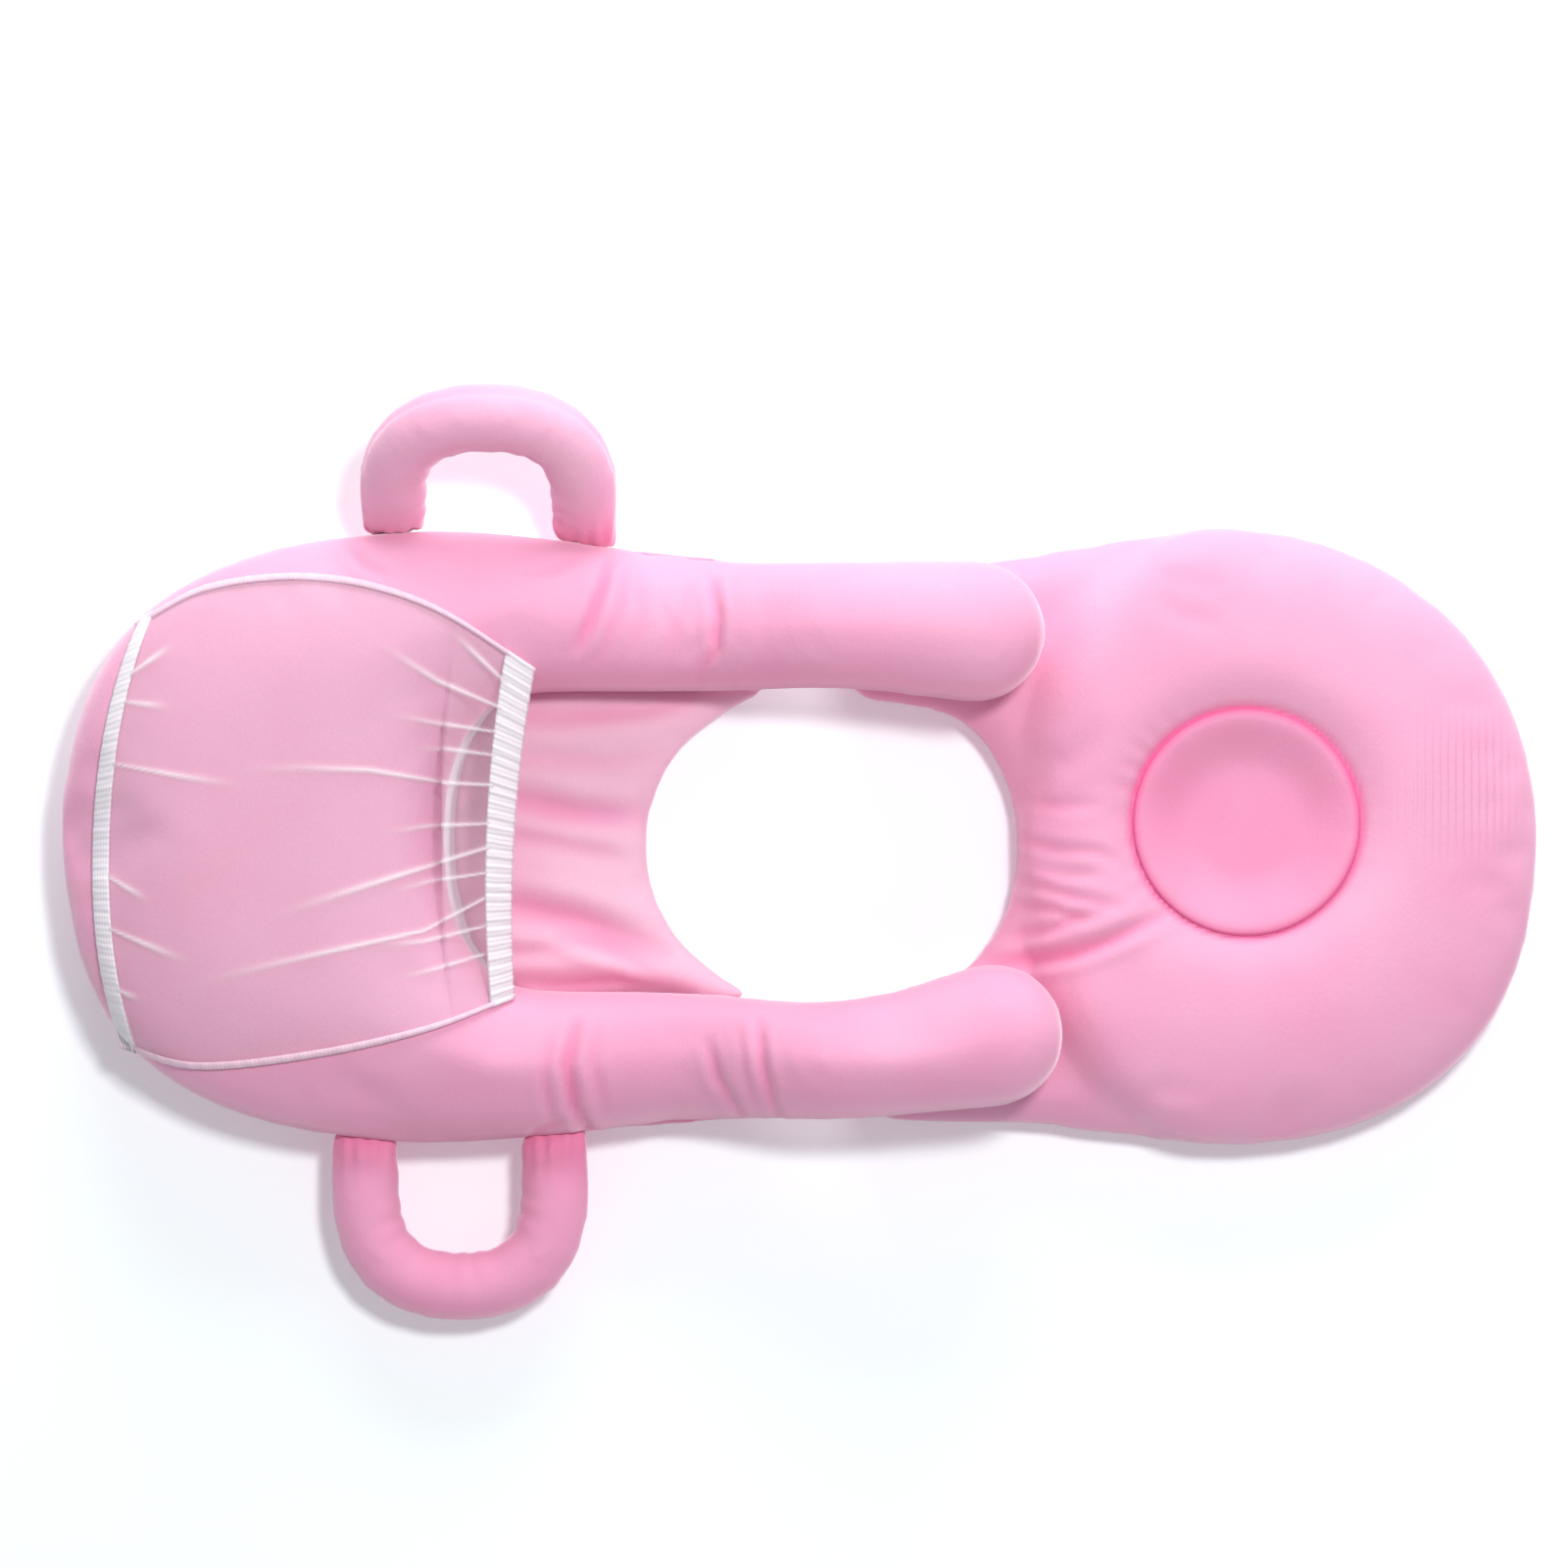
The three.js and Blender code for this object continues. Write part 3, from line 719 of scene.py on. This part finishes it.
class PILLOW_OT_bolster(bpy.types.Operator):
    """Makes the U-shaped bolster and its two arms: covers, fillings, seam and folds"""

    bl_idname = "pillow.bolster"
    bl_label = "Bolster and Arms"

    def execute(self, context):
        s = sizes()

        def close_joint(form):
            points = points_of(form.data)
            at_joint = (points[:, 0] > ARM_HINGE.x) & (points[:, 0] < ARM_HINGE.x + 0.0008)
            points[at_joint, 0] -= JOINT_OVERLAP
            put_points(form.data, points)

        form = cushion_form(
            "bolster_form",
            ("bolster_filling", "left_arm_filling", "right_arm_filling"),
            s.voxel,
            bolster_seam,
            prepare=close_joint,
            crown_mask=lambda points: np.ones(len(points)),
        )
        for line, width, depth in BOLSTER_FOLDS:
            fold(form, mm(*line), width / 1000, depth / 1000)
        seam_groove(form, bolster_seam)
        shade_edges(form.data)

        shift_z(form, lambda x: -lift_at(x))
        cut_flat(form, (0, 0, SEAM_Z), (0, 0, 1))
        shift_z(form, lift_at)
        cut_flat(form, (s.arm_cut, 0, 0), (1, 0, 0))
        normals = normal_table(form)
        plush, fibre = plush_material(), fibre_material()

        def zone(part, upper):
            def keep(middle):
                above = middle.z > bolster_seam(middle.x)
                if part == "bolster":
                    inside = middle.x < s.arm_cut
                else:
                    inside = middle.x > s.arm_cut and (middle.y > 0) == (part == "left_arm")
                return inside and above == upper

            return keep

        for part in ("bolster", "left_arm", "right_arm"):
            ride = part if part == "bolster" else ""
            pieces = []
            for side, upper in (("top", True), ("bottom", False)):
                name = f"{part}_{side}_cover"
                piece = part_of(form, f"cloth_{name}", zone(part, upper))
                wall(piece, s.cover, normals)
                finish_piece(piece, ride, plush, (name,))
                pieces.append(piece)
            upper_zone, lower_zone = zone(part, True), zone(part, False)
            inner = part_of(form, f"{part}_inner", lambda middle: upper_zone(middle) or lower_zone(middle))
            fill_holes(inner)
            pieces.append(stuffing(f"fibre_{part}", inner, ride, fibre, STUFFING_GAP, f"{part}_filling"))
            bpy.data.objects.remove(inner)
            if not ride:
                # Each arm's cover and filling are cut from the same form, so they follow the same curve; they ride
                # on no body, and their placement is baked into their meshes.
                for piece in pieces:
                    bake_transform(piece)
        context.scene["bolster_form"] = form.name
        form.hide_render = True
        return {"FINISHED"}


def fill_holes(obj):
    with editing(obj) as bm:
        bmesh.ops.holes_fill(bm, edges=[edge for edge in bm.edges if edge.is_boundary])
        bmesh.ops.recalc_face_normals(bm, faces=bm.faces)


SEAT_FOLDS = (
    (((-163, 26), (-136, 26), (-108, 20), (-70, 17)), 6.0, 3.4),
    (((-160, 44), (-130, 47), (-95, 44), (-66, 48)), 4.0, 1.2),
    (((-164, 8), (-135, 9), (-105, 3), (-80, -2)), 5.0, 1.4),
    (((-163, -24), (-135, -25), (-108, -31), (-62, -49)), 6.5, 3.6),
    (((-120, -38), (-96, -44), (-70, -56)), 3.4, 1.5),
    (((-158, -46), (-135, -47), (-112, -44)), 3.6, 1.0),
    (((-152, -60), (-120, -63), (-90, -62), (-50, -68)), 5.0, 3.0),
    (((-150, 68), (-120, 66), (-90, 68), (-52, 72)), 4.6, 2.4),
)


SEAT_SWELL = 0.005
SEAT_GAP = 0.0042  # between the thin pad's outside and its stuffing


class PILLOW_OT_seat_pad(bpy.types.Operator):
    """Makes the thin seat pad between the bolster's arms"""

    bl_idname = "pillow.seat_pad"
    bl_label = "Seat Pad"

    def execute(self, context):
        s = sizes()
        low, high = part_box("seat_pad_top_cover")
        form = joined_copy("seat_form", ("seat_pad_wadding",))
        remesh(form, s.fine_voxel)
        relax(form, 2)
        put_points(form.data, points_of(form.data) + normals_of(form.data) * 0.0012)
        blow_up(form, s.pressure * 0.7, SEAT_SWELL, frames=16)
        subdivide(form)
        rest_on_floor(form)
        for line, width, depth in SEAT_FOLDS:
            fold(form, mm(*line), width / 1000, depth / 1000, ridge=0.5)
        seam_groove(form, lambda x: low.z + 0 * x)
        shade_edges(form.data)
        # painted light: the whole seat pad's cloth is made paler
        shade_add(form.data, -0.40)
        cut_flat(form, (0, 0, low.z), (0, 0, 1))
        normals = normal_table(form)
        for side, upper in (("top", True), ("bottom", False)):
            name = f"seat_pad_{side}_cover"
            piece = part_of(form, f"cloth_{name}", lambda middle: (middle.z > low.z) == upper)
            wall(piece, s.cover, normals)
            finish_piece(piece, "bolster", plush_material(), (name,))
        stuffing("fibre_seat_pad", form, "bolster", fibre_material(), SEAT_GAP, "seat_pad_wadding", 0.8)
        bpy.data.objects.remove(form)
        return {"FINISHED"}


HEAD_FOLDS = (
    (((84, -52), (106, -50), (125, -46), (144, -39), (170, -27)), 3.4, 3.0),
    (((98, 8), (118, 3), (136, 2), (152, -4)), 2.6, 1.1),
    (((96, -12), (112, -15), (128, -20), (150, -24)), 2.6, 1.5),
    (((100, -24), (118, -26), (134, -30)), 2.5, 1.2),
    (((96, -40), (112, -36), (126, -30), (142, -26)), 2.6, 1.4),
    (((106, -6), (122, -9), (140, -8)), 2.5, 0.8),
    (((100, 26), (120, 23), (142, 24)), 2.6, 0.6),
    (((166, 124), (178, 114), (196, 108)), 5.0, 0.5),
    (((158, 138), (176, 130), (198, 127)), 5.0, 0.5),
    (((150, -120), (168, -110), (190, -112)), 5.0, 0.5),
)
GATHERS = 34  # round the dimple's seam
GATHER_SIDE = 2.75  # they are strongest this far round, in radians, on both sides
RIPPLES = Vector((0.306, 0.034))  # where the cloth is drawn into fine ripples
RIPPLES_HALF = (0.026, 0.030)
RIPPLES_LOW = 0.03
DIMPLE_FLAT = 0.45  # share of the radius
DIMPLE_BOWL = 0.011
DIMPLE_STEP = 0.0068  # depth of the seam round it
DIMPLE_LIP = 0.012
DIMPLE_FILL = (0.016, 0.0023)  # out past its rim, and down from the cushion's top
DIMPLE_HEM = 0.0045  # the cover goes on under the panel this far


def dimple_drop(r):
    """Depth of the dimple below the cushion's top, by distance from its middle."""
    flat = DIMPLE_RADIUS * DIMPLE_FLAT
    bowl = DIMPLE_BOWL * (1 - smooth_step((r - flat) / (DIMPLE_RADIUS - flat)))
    lip = DIMPLE_STEP * bell(np.maximum(r - DIMPLE_RADIUS, 0), DIMPLE_LIP, 1.6) * (r >= DIMPLE_RADIUS)
    inside = (DIMPLE_STEP + bowl) * (r < DIMPLE_RADIUS)
    return lip + inside + SEAM_DEPTH * bell(r - DIMPLE_RADIUS, SEAM_WIDTH)


class PILLOW_OT_head_pillow(bpy.types.Operator):
    """Makes the round head pillow with its horns, dimple panel, seam and gathers"""

    bl_idname = "pillow.head_pillow"
    bl_label = "Head Pillow"

    def execute(self, context):
        s = sizes()
        seam_z = HEAD_LOW.z

        def fill_dimple(form):
            points = points_of(form.data)
            r = np.hypot(points[:, 0] - DIMPLE_CENTRE.x, points[:, 1] - DIMPLE_CENTRE.y)
            inside = (r < DIMPLE_RADIUS + DIMPLE_FILL[0]) & (points[:, 2] > seam_z)
            points[inside, 2] = HEAD_HIGH.z - DIMPLE_FILL[1]
            put_points(form.data, points)

        form = cushion_form(
            "head_form",
            ("head_filling",),
            s.voxel,
            lambda x: seam_z + 0 * x,
            prepare=fill_dimple,
            crown_mask=lambda points: smooth_step((points[:, 0] - 0.09) / 0.05),
        )
        for line, width, depth in HEAD_FOLDS:
            fold(form, mm(*line), width / 1000, depth / 1000)
        self.press_dimple(form)
        points = points_of(form.data)
        across = bell(points[:, 0] - RIPPLES.x, RIPPLES_HALF[0], 4)
        along = bell(points[:, 1] - RIPPLES.y, RIPPLES_HALF[1], 4)
        mark(form.data, "ripple", across * along * (points[:, 2] > RIPPLES_LOW))
        seam_groove(form, lambda x: seam_z + 0 * x)
        shade_edges(form.data)
        cut_flat(form, (0, 0, seam_z), (0, 0, 1))
        normals = normal_table(form)
        hole = DIMPLE_RADIUS - DIMPLE_HEM

        def outside_dimple(middle):
            return math.hypot(middle.x - DIMPLE_CENTRE.x, middle.y - DIMPLE_CENTRE.y) > hole

        for side, upper in (("top", True), ("bottom", False)):
            name = f"head_{side}_cover"
            piece = part_of(
                form,
                f"cloth_{name}",
                lambda middle: (middle.z > seam_z) == upper and (not upper or outside_dimple(middle)),
            )
            wall(piece, s.cover, normals)
            finish_piece(piece, "head_pillow", plush_material(), (name,))
        self.dimple_panel(form)
        stuffing("fibre_head", form, "head_pillow", fibre_material(), STUFFING_GAP, "head_filling")
        bpy.data.objects.remove(form)
        return {"FINISHED"}

    def press_dimple(self, form):
        mesh = form.data
        points, normals = points_of(mesh), normals_of(mesh)
        dx, dy = points[:, 0] - DIMPLE_CENTRE.x, points[:, 1] - DIMPLE_CENTRE.y
        r, angle = np.hypot(dx, dy), np.arctan2(dy, dx)
        top = smooth_step(normals[:, 2] * 3) * (points[:, 2] > HEAD_LOW.z)
        points[:, 2] -= dimple_drop(r) * top
        pull = np.sin(angle * GATHERS + 1.7 * np.sin(angle * 5)) * (0.6 + 0.4 * np.sin(angle * 3 + 1))
        near = bell(r - DIMPLE_RADIUS - 0.005, 0.006)
        drawn = 0.12 + 0.88 * bell(np.abs(angle) - GATHER_SIDE, 0.5)
        points[:, 2] += 0.0006 * pull * near * drawn * top
        put_points(mesh, points)
        # painted shade in the dimple's seam and in the troughs of the gathers round it
        dark = bell(r - DIMPLE_RADIUS, SEAM_WIDTH) * top
        shade_add(mesh, 0.75 * dark + 0.1 * near * drawn * top * (pull < 0))

    def dimple_panel(self, form):
        tree = BVHTree.FromObject(form, bpy.context.evaluated_depsgraph_get())
        bm = bmesh.new()
        bmesh.ops.create_circle(bm, cap_ends=True, cap_tris=True, segments=120, radius=DIMPLE_RADIUS)
        bmesh.ops.subdivide_edges(
            bm, edges=[edge for edge in bm.edges if not edge.is_boundary], cuts=26, use_grid_fill=True
        )
        panel = object_from("cloth_dimple_panel", bm)
        points = points_of(panel.data)
        r = np.hypot(points[:, 0], points[:, 1])
        angle = np.arctan2(points[:, 1], points[:, 0])
        points[:, 0] += DIMPLE_CENTRE.x
        points[:, 1] += DIMPLE_CENTRE.y
        for i, point in enumerate(points):
            hit = tree.ray_cast(Vector((point[0], point[1], 0.2)), Vector((0, 0, -1)))[0]
            points[i, 2] = (hit.z if hit else 0.02) + 0.0007
        ripple = np.sin(angle * 14 + 2 * np.sin(angle * 3)) * (r / DIMPLE_RADIUS) ** 4
        points[:, 2] += 0.00015 * ripple
        put_points(panel.data, points)
        relax(panel, 1)
        # painted shade along the panel's seam; the whole panel is also darker
        shade_add(panel.data, 0.22 + 0.7 * bell(r - DIMPLE_RADIUS, SEAM_WIDTH))
        with editing(panel) as bm:
            bmesh.ops.recalc_face_normals(bm, faces=bm.faces)
        if normals_of(panel.data)[:, 2].mean() < 0:
            panel.data.flip_normals()
        solid = panel.modifiers.new("Solidify", "SOLIDIFY")
        solid.thickness = sizes().cover
        solid.offset = -1
        finish_piece(panel, "head_pillow", plush_material(), ("dimple_panel",))


HANDLE_TILTS = {"left": math.radians(42), "right": math.radians(-4)}
HANDLE_TAB = 0.030  # the legs' thin ends, and how thin they are beside the tube
HANDLE_THIN = 4 / 34
HANDLE_LEG = 0.024
HANDLE_BEND = 0.047  # reach at which the inside of the bend ends
HANDLE_GROW = 0.0022
HANDLE_SWELL = 0.003
HANDLE_TUCK = 0.005  # how far the legs' ends go on into the bolster


class PILLOW_OT_handles(bpy.types.Operator):
    """Makes the two padded loop handles"""

    bl_idname = "pillow.handles"
    bl_label = "Handles"

    def execute(self, context):
        for side in ("left", "right"):
            self.handle(side)
        return {"FINISHED"}

    def handle(self, side):
        s = sizes()
        pivot = Vector(JOINTS[f"{side}_handle_swing"]["pos_m"])
        outward = 1 if side == "left" else -1
        tilt = HANDLE_TILTS[side]
        form = joined_copy(f"{side}_handle_form", (f"{side}_handle_filling",))

        def to_local(points):
            y = (points[:, 1] - pivot.y) * outward
            z = points[:, 2] - pivot.z
            along = y * math.cos(tilt) + z * math.sin(tilt)
            up = -y * math.sin(tilt) + z * math.cos(tilt)
            return np.column_stack((points[:, 0] - pivot.x, along, up))

        def to_world(local):
            y = local[:, 1] * math.cos(tilt) - local[:, 2] * math.sin(tilt)
            z = local[:, 1] * math.sin(tilt) + local[:, 2] * math.cos(tilt)
            return np.column_stack((local[:, 0] + pivot.x, pivot.y + y * outward, pivot.z + z))

        local = to_local(points_of(form.data))
        fill = smooth_step(local[:, 1] / HANDLE_TAB)
        thin = HANDLE_THIN + (1 - HANDLE_THIN) * fill
        local[:, 2] *= (0.5 + 0.5 * fill) / thin
        local[:, 1] = np.where(local[:, 1] < 0.004, local[:, 1] - HANDLE_TUCK, local[:, 1])
        put_points(form.data, to_world(local))
        remesh(form, s.fine_voxel)
        relax(form, 3)
        put_points(form.data, points_of(form.data) + normals_of(form.data) * HANDLE_GROW)
        blow_up(form, s.pressure, HANDLE_SWELL, frames=12)
        subdivide(form)
        mesh = form.data
        points, normals = points_of(mesh), normals_of(mesh)
        local = to_local(points)
        turn = np.arctan2(local[:, 1] - HANDLE_LEG, local[:, 0])
        reach = np.hypot(local[:, 0], np.maximum(local[:, 1] - HANDLE_LEG, 0))
        inner = smooth_step((HANDLE_BEND - reach) / 0.014)
        pucker = np.sin(turn * 17 + 1.3 * np.sin(turn * 5 + outward)) * inner
        leg = bell(local[:, 1], 0.012)
        pinch = np.sin(local[:, 0] * 900) * leg
        put_points(mesh, points + normals * (0.00028 * pucker + 0.0006 * pinch)[:, None])
        # painted shade on the legs near their roots, under the bolster's edge
        shade_add(mesh, 0.35 * leg)
        seam = bell(local[:, 2], 0.0018) * (reach > 0.055)
        points, normals = points_of(mesh), normals_of(mesh)
        put_points(mesh, points - normals * (0.001 * seam)[:, None])
        shade_edges(mesh)
        # painted light on the far (left) handle and painted shade on the near (right) one
        shade_add(mesh, -0.12 if side == "left" else 0.08)
        stuffing(f"fibre_{side}_handle", form, f"{side}_handle", fibre_material(), 0.003, f"{side}_handle_filling")
        form.name = f"cloth_{side}_handle"
        finish_piece(form, f"{side}_handle", plush_material(), (f"{side}_handle_cover",))


# The pocket's two sewn sides, from the closed end to the mouth, in mm.
POCKET_SIDES = {
    "left": ((-313, 111), (-278, 128), (-226, 132), (-176, 119), (-126, 88)),
    "right": ((-322, -91), (-284, -100), (-228, -94), (-176, -82), (-136, -67)),
}
POCKET_BOW = (-0.016, -0.005)  # how far the middle bows out at the closed end and at the mouth
POCKET_RISE = 0.0022  # above the bolster
POCKET_LENGTH = 0.185
POCKET_WIDTH = 0.206
BAND_WIDTH = 0.0125  # of the two elastics
HEM_WIDTH = 0.0032
GATHER_STEP = 0.0068  # from one gather of an elastic to the next
GATHER_SWELL = 0.0006
HOLLOW_SAG = 0.0015
FOLD_REACH = 0.012  # a pulled fold ends this far from its line
NET_FOLDS = (
    # start at the mouth's elastic, end, width, depth
    (((-142, 69), (-172, 82), (-203, 102)), 3.0, 1.0),
    (((-146, 33), (-167, 34), (-203, 40), (-237, 41), (-270, 39)), 3.0, 1.0),
    (((-148, 4), (-167, -2), (-214, -17), (-256, -31)), 3.4, 1.1),
    (((-150, -20), (-178, -35), (-237, -48), (-296, -62)), 3.0, 1.0),
    (((-139, 80), (-167, 107)), 2.6, 0.9),
    (((-145, 58), (-172, 62), (-196, 66)), 2.4, 0.8),
    (((-145, 47), (-168, 50), (-186, 50)), 2.2, 0.7),
    (((-147, 15), (-176, 14), (-200, 10)), 2.4, 0.8),
    (((-149, -8), (-176, -12), (-196, -18)), 2.2, 0.7),
    (((-150, -33), (-178, -40), (-204, -42)), 2.4, 0.8),
    (((-150, -46), (-170, -52), (-192, -58)), 2.2, 0.7),
    (((-315, 85), (-293, 100)), 3.2, 0.9),
    (((-318, 72), (-294, 69)), 3.0, 0.8),
    (((-323, 43), (-290, 37), (-258, 32)), 3.0, 0.9),
    (((-325, -10), (-304, -22)), 3.0, 0.8),
    (((-325, -34), (-284, -51)), 3.0, 0.9),
    (((-323, -62), (-309, -68)), 2.8, 0.8),
)


def spline_point(knots, t):
    """A point on a smooth curve through some knots, by Catmull and Rom's rule."""
    knots = np.asarray(knots, float) / 1000
    spans = len(knots) - 1
    i = min(int(t * spans), spans - 1)
    u = t * spans - i
    a, b = knots[i], knots[i + 1]
    before = knots[i - 1] if i else 2 * a - b
    after = knots[i + 2] if i + 2 <= spans else 2 * b - a
    return 0.5 * (2 * a + (b - before) * u + (2 * before - 5 * a + 4 * b - after) * u**2
                  + (3 * a - before - 3 * b + after) * u**3)


def pocket_place(u, v):
    """A place on the pocket in plan: u runs from the rear elastic to the mouth, v from right to left."""
    right = spline_point(POCKET_SIDES["right"], u)
    left = spline_point(POCKET_SIDES["left"], u)
    point = right + (left - right) * v
    point[0] += (POCKET_BOW[0] + (POCKET_BOW[1] - POCKET_BOW[0]) * u) * 4 * v * (1 - v)
    return point


class PILLOW_OT_net_pocket(bpy.types.Operator):
    """Makes the sheer net pocket, its two elastics and its two bindings"""

    bl_idname = "pillow.net_pocket"
    bl_label = "Net Pocket"

    def execute(self, context):
        form = bpy.data.objects[context.scene["bolster_form"]]
        self.tree = BVHTree.FromObject(form, context.evaluated_depsgraph_get())
        net = net_material()
        elastic = elastic_material("woven_elastic", colours().elastic)
        doubled = elastic_material("net_hem", colours().hem)
        band, hem = BAND_WIDTH / POCKET_LENGTH, HEM_WIDTH / POCKET_WIDTH

        panel = self.strip("cloth_net_panel", (0.012, 0.985), (0.012, 0.988), 150, 170, 0.0, 0.0)
        self.pull_folds(panel)
        finish_piece(panel, "bolster", net, ("net_pocket_panel",))
        trims = (
            ("net_front_elastic", (1 - band, 1.0), (0.0, 1.0), 10, 420, 0.0020, 0.00028, elastic),
            ("net_rear_elastic", (0.0, band * 0.8), (0.0, 1.0), 10, 420, 0.0018, 0.00012, elastic),
            ("net_left_binding", (0.0, 1.0), (1 - hem, 1.0), 380, 6, 0.0012, 0.0001, doubled),
            ("net_right_binding", (0.0, 1.0), (0.0, hem), 380, 6, 0.0012, 0.0001, doubled),
        )
        for name, u_range, v_range, n_u, n_v, thick, ripple, cloth in trims:
            piece = self.strip(f"cloth_{name}", u_range, v_range, n_u, n_v, thick, ripple)
            finish_piece(piece, "bolster", cloth, (name,))
        bpy.data.objects.remove(form)
        return {"FINISHED"}

    def height(self, x, y):
        hit = self.tree.ray_cast(Vector((x, y, 0.3)), Vector((0, 0, -1)))[0]
        return hit.z if hit and hit.z > SEAM_Z else None

    def strip(self, name, u_range, v_range, n_u, n_v, thick, ripple):
        """A cloth strip over part of the pocket. Where nothing is under it, it spans the hollow."""
        bm = bmesh.new()
        bmesh.ops.create_grid(bm, x_segments=n_u, y_segments=n_v, size=0.5)
        piece = object_from(name, bm)
        flat = points_of(piece.data) + 0.5
        rows = {}
        for i, (a, b, _) in enumerate(flat):
            rows.setdefault(round(float(a), 5), []).append((float(b), i))
        points = np.zeros_like(flat)
        for a, row in rows.items():
            row.sort()
            u = u_range[0] + (u_range[1] - u_range[0]) * a
            full = self.row_heights(u)
            for b, i in row:
                v = v_range[0] + (v_range[1] - v_range[0]) * b
                x, y = pocket_place(u, v)
                points[i] = (x, y, np.interp(v, full[0], full[1]) + POCKET_RISE)
        put_points(piece.data, points)
        uv = piece.data.uv_layers.new(name="cloth")
        place = np.column_stack((
            (u_range[0] + (u_range[1] - u_range[0]) * flat[:, 0]) * POCKET_LENGTH,
            (v_range[0] + (v_range[1] - v_range[0]) * flat[:, 1]) * POCKET_WIDTH,
        ))
        index = np.empty(len(piece.data.loops), np.int32)
        piece.data.loops.foreach_get("vertex_index", index)
        uv.data.foreach_set("uv", place[index].astype(np.float32).ravel())
        gather = piece.data.attributes.new("gather", "FLOAT", "POINT")
        if ripple:
            if n_u < n_v:
                across, along = flat[:, 0], flat[:, 1] * POCKET_WIDTH
            else:
                across, along = flat[:, 1], flat[:, 0] * POCKET_LENGTH
            wave = np.sin(along * 2 * np.pi / GATHER_STEP + 1.5 * np.sin(along * 95) + 0.8 * across)
            wave *= 0.7 + 0.3 * np.sin(along * 310)
            swell = np.sin(np.pi * np.clip(across, 0, 1)) ** 0.5
            normals = normals_of(piece.data)
            sign = np.sign(normals[:, 2].mean())
            put_points(piece.data, points + sign * normals * (ripple * wave + GATHER_SWELL * swell)[:, None])
            # painted shade for the elastics and bindings: a low gather value darkens the troughs between the
            # gathers
            gather.data.foreach_set("value", np.clip(0.6 + 0.4 * wave, 0, 1).astype(np.float32))
        if normals_of(piece.data)[:, 2].mean() < 0:
            piece.data.flip_normals()
        if thick:
            thicken(piece, thick)
        return piece

    def row_heights(self, u, steps=90):
        known_v, known_z = [], []
        for i in range(steps + 1):
            v = i / steps
            z = self.height(*pocket_place(u, v))
            if z is not None:
                known_v.append(v)
                known_z.append(z)
        all_v = np.linspace(0, 1, steps + 1)
        z = np.interp(all_v, known_v, known_z)
        hollow = np.ones(len(all_v), bool)
        hollow[np.searchsorted(all_v, known_v).clip(0, steps)] = False
        # A taut cloth spans the hollow between its two highest edges.
        if hollow.sum() > 6:
            left = all_v < 0.5
            peak_a = np.argmax(np.where(left, z, -1))
            peak_b = np.argmax(np.where(~left, z, -1))
            span = (np.arange(len(all_v)) >= peak_a) & (np.arange(len(all_v)) <= peak_b)
            straight = np.interp(all_v, all_v[[peak_a, peak_b]], z[[peak_a, peak_b]])
            share = (all_v - all_v[peak_a]) / max(all_v[peak_b] - all_v[peak_a], 1e-6)
            z = np.where(span, straight - HOLLOW_SAG * np.sin(np.pi * share), z)
        smooth = z.copy()
        for _ in range(6):
            smooth[1:-1] = (smooth[:-2] + 2 * smooth[1:-1] + smooth[2:]) / 4
        return all_v, np.maximum(smooth, z)

    def pull_folds(self, panel):
        mesh = panel.data
        gather = mesh.attributes["gather"]
        total = np.zeros(len(mesh.vertices))
        for line, width, depth in NET_FOLDS:
            points, normals = points_of(mesh), normals_of(mesh)
            d, along = line_distance(points, mm(*line))
            fade = smooth_step((1.0 - along) * 1.6) * smooth_step(2 - d / FOLD_REACH)
            crest = bell(d, width / 1000 * (0.22 + 0.5 * along)) * fade
            put_points(mesh, points + normals * (crest * depth / 1000)[:, None])
            total = np.maximum(total, crest)
        gather.data.foreach_set("value", np.clip(total, 0, 1).astype(np.float32))


class PILLOW_PT_panel(bpy.types.Panel):
    """Lists the pillow's sizes, colours and build steps"""

    bl_idname = "PILLOW_PT_panel"
    bl_label = "Nursing Pillow"
    bl_space_type = "VIEW_3D"
    bl_region_type = "UI"
    bl_category = "Pillow"

    def draw(self, context):
        for group in (context.scene.pillow_sizes, context.scene.pillow_colours):
            box = self.layout.box()
            for name in group.__annotations__:
                box.prop(group, name)
        for operator in BUILD_STEPS:
            self.layout.operator(operator.bl_idname)


BUILD_STEPS = (
    PILLOW_OT_stage,
    PILLOW_OT_bolster,
    PILLOW_OT_seat_pad,
    PILLOW_OT_net_pocket,
    PILLOW_OT_head_pillow,
    PILLOW_OT_handles,
)
CLASSES = (PillowSizes, PillowColours, *BUILD_STEPS, PILLOW_PT_panel)


def register():
    for cls in CLASSES:
        bpy.utils.register_class(cls)
    bpy.types.Scene.pillow_sizes = PointerProperty(type=PillowSizes)
    bpy.types.Scene.pillow_colours = PointerProperty(type=PillowColours)


def unregister():
    del bpy.types.Scene.pillow_colours
    del bpy.types.Scene.pillow_sizes
    for cls in reversed(CLASSES):
        bpy.utils.unregister_class(cls)


def main():
    register()
    for step in BUILD_STEPS:
        area, name = step.bl_idname.split(".")
        getattr(getattr(bpy.ops, area), name)()


if __name__ == "__main__":
    main()
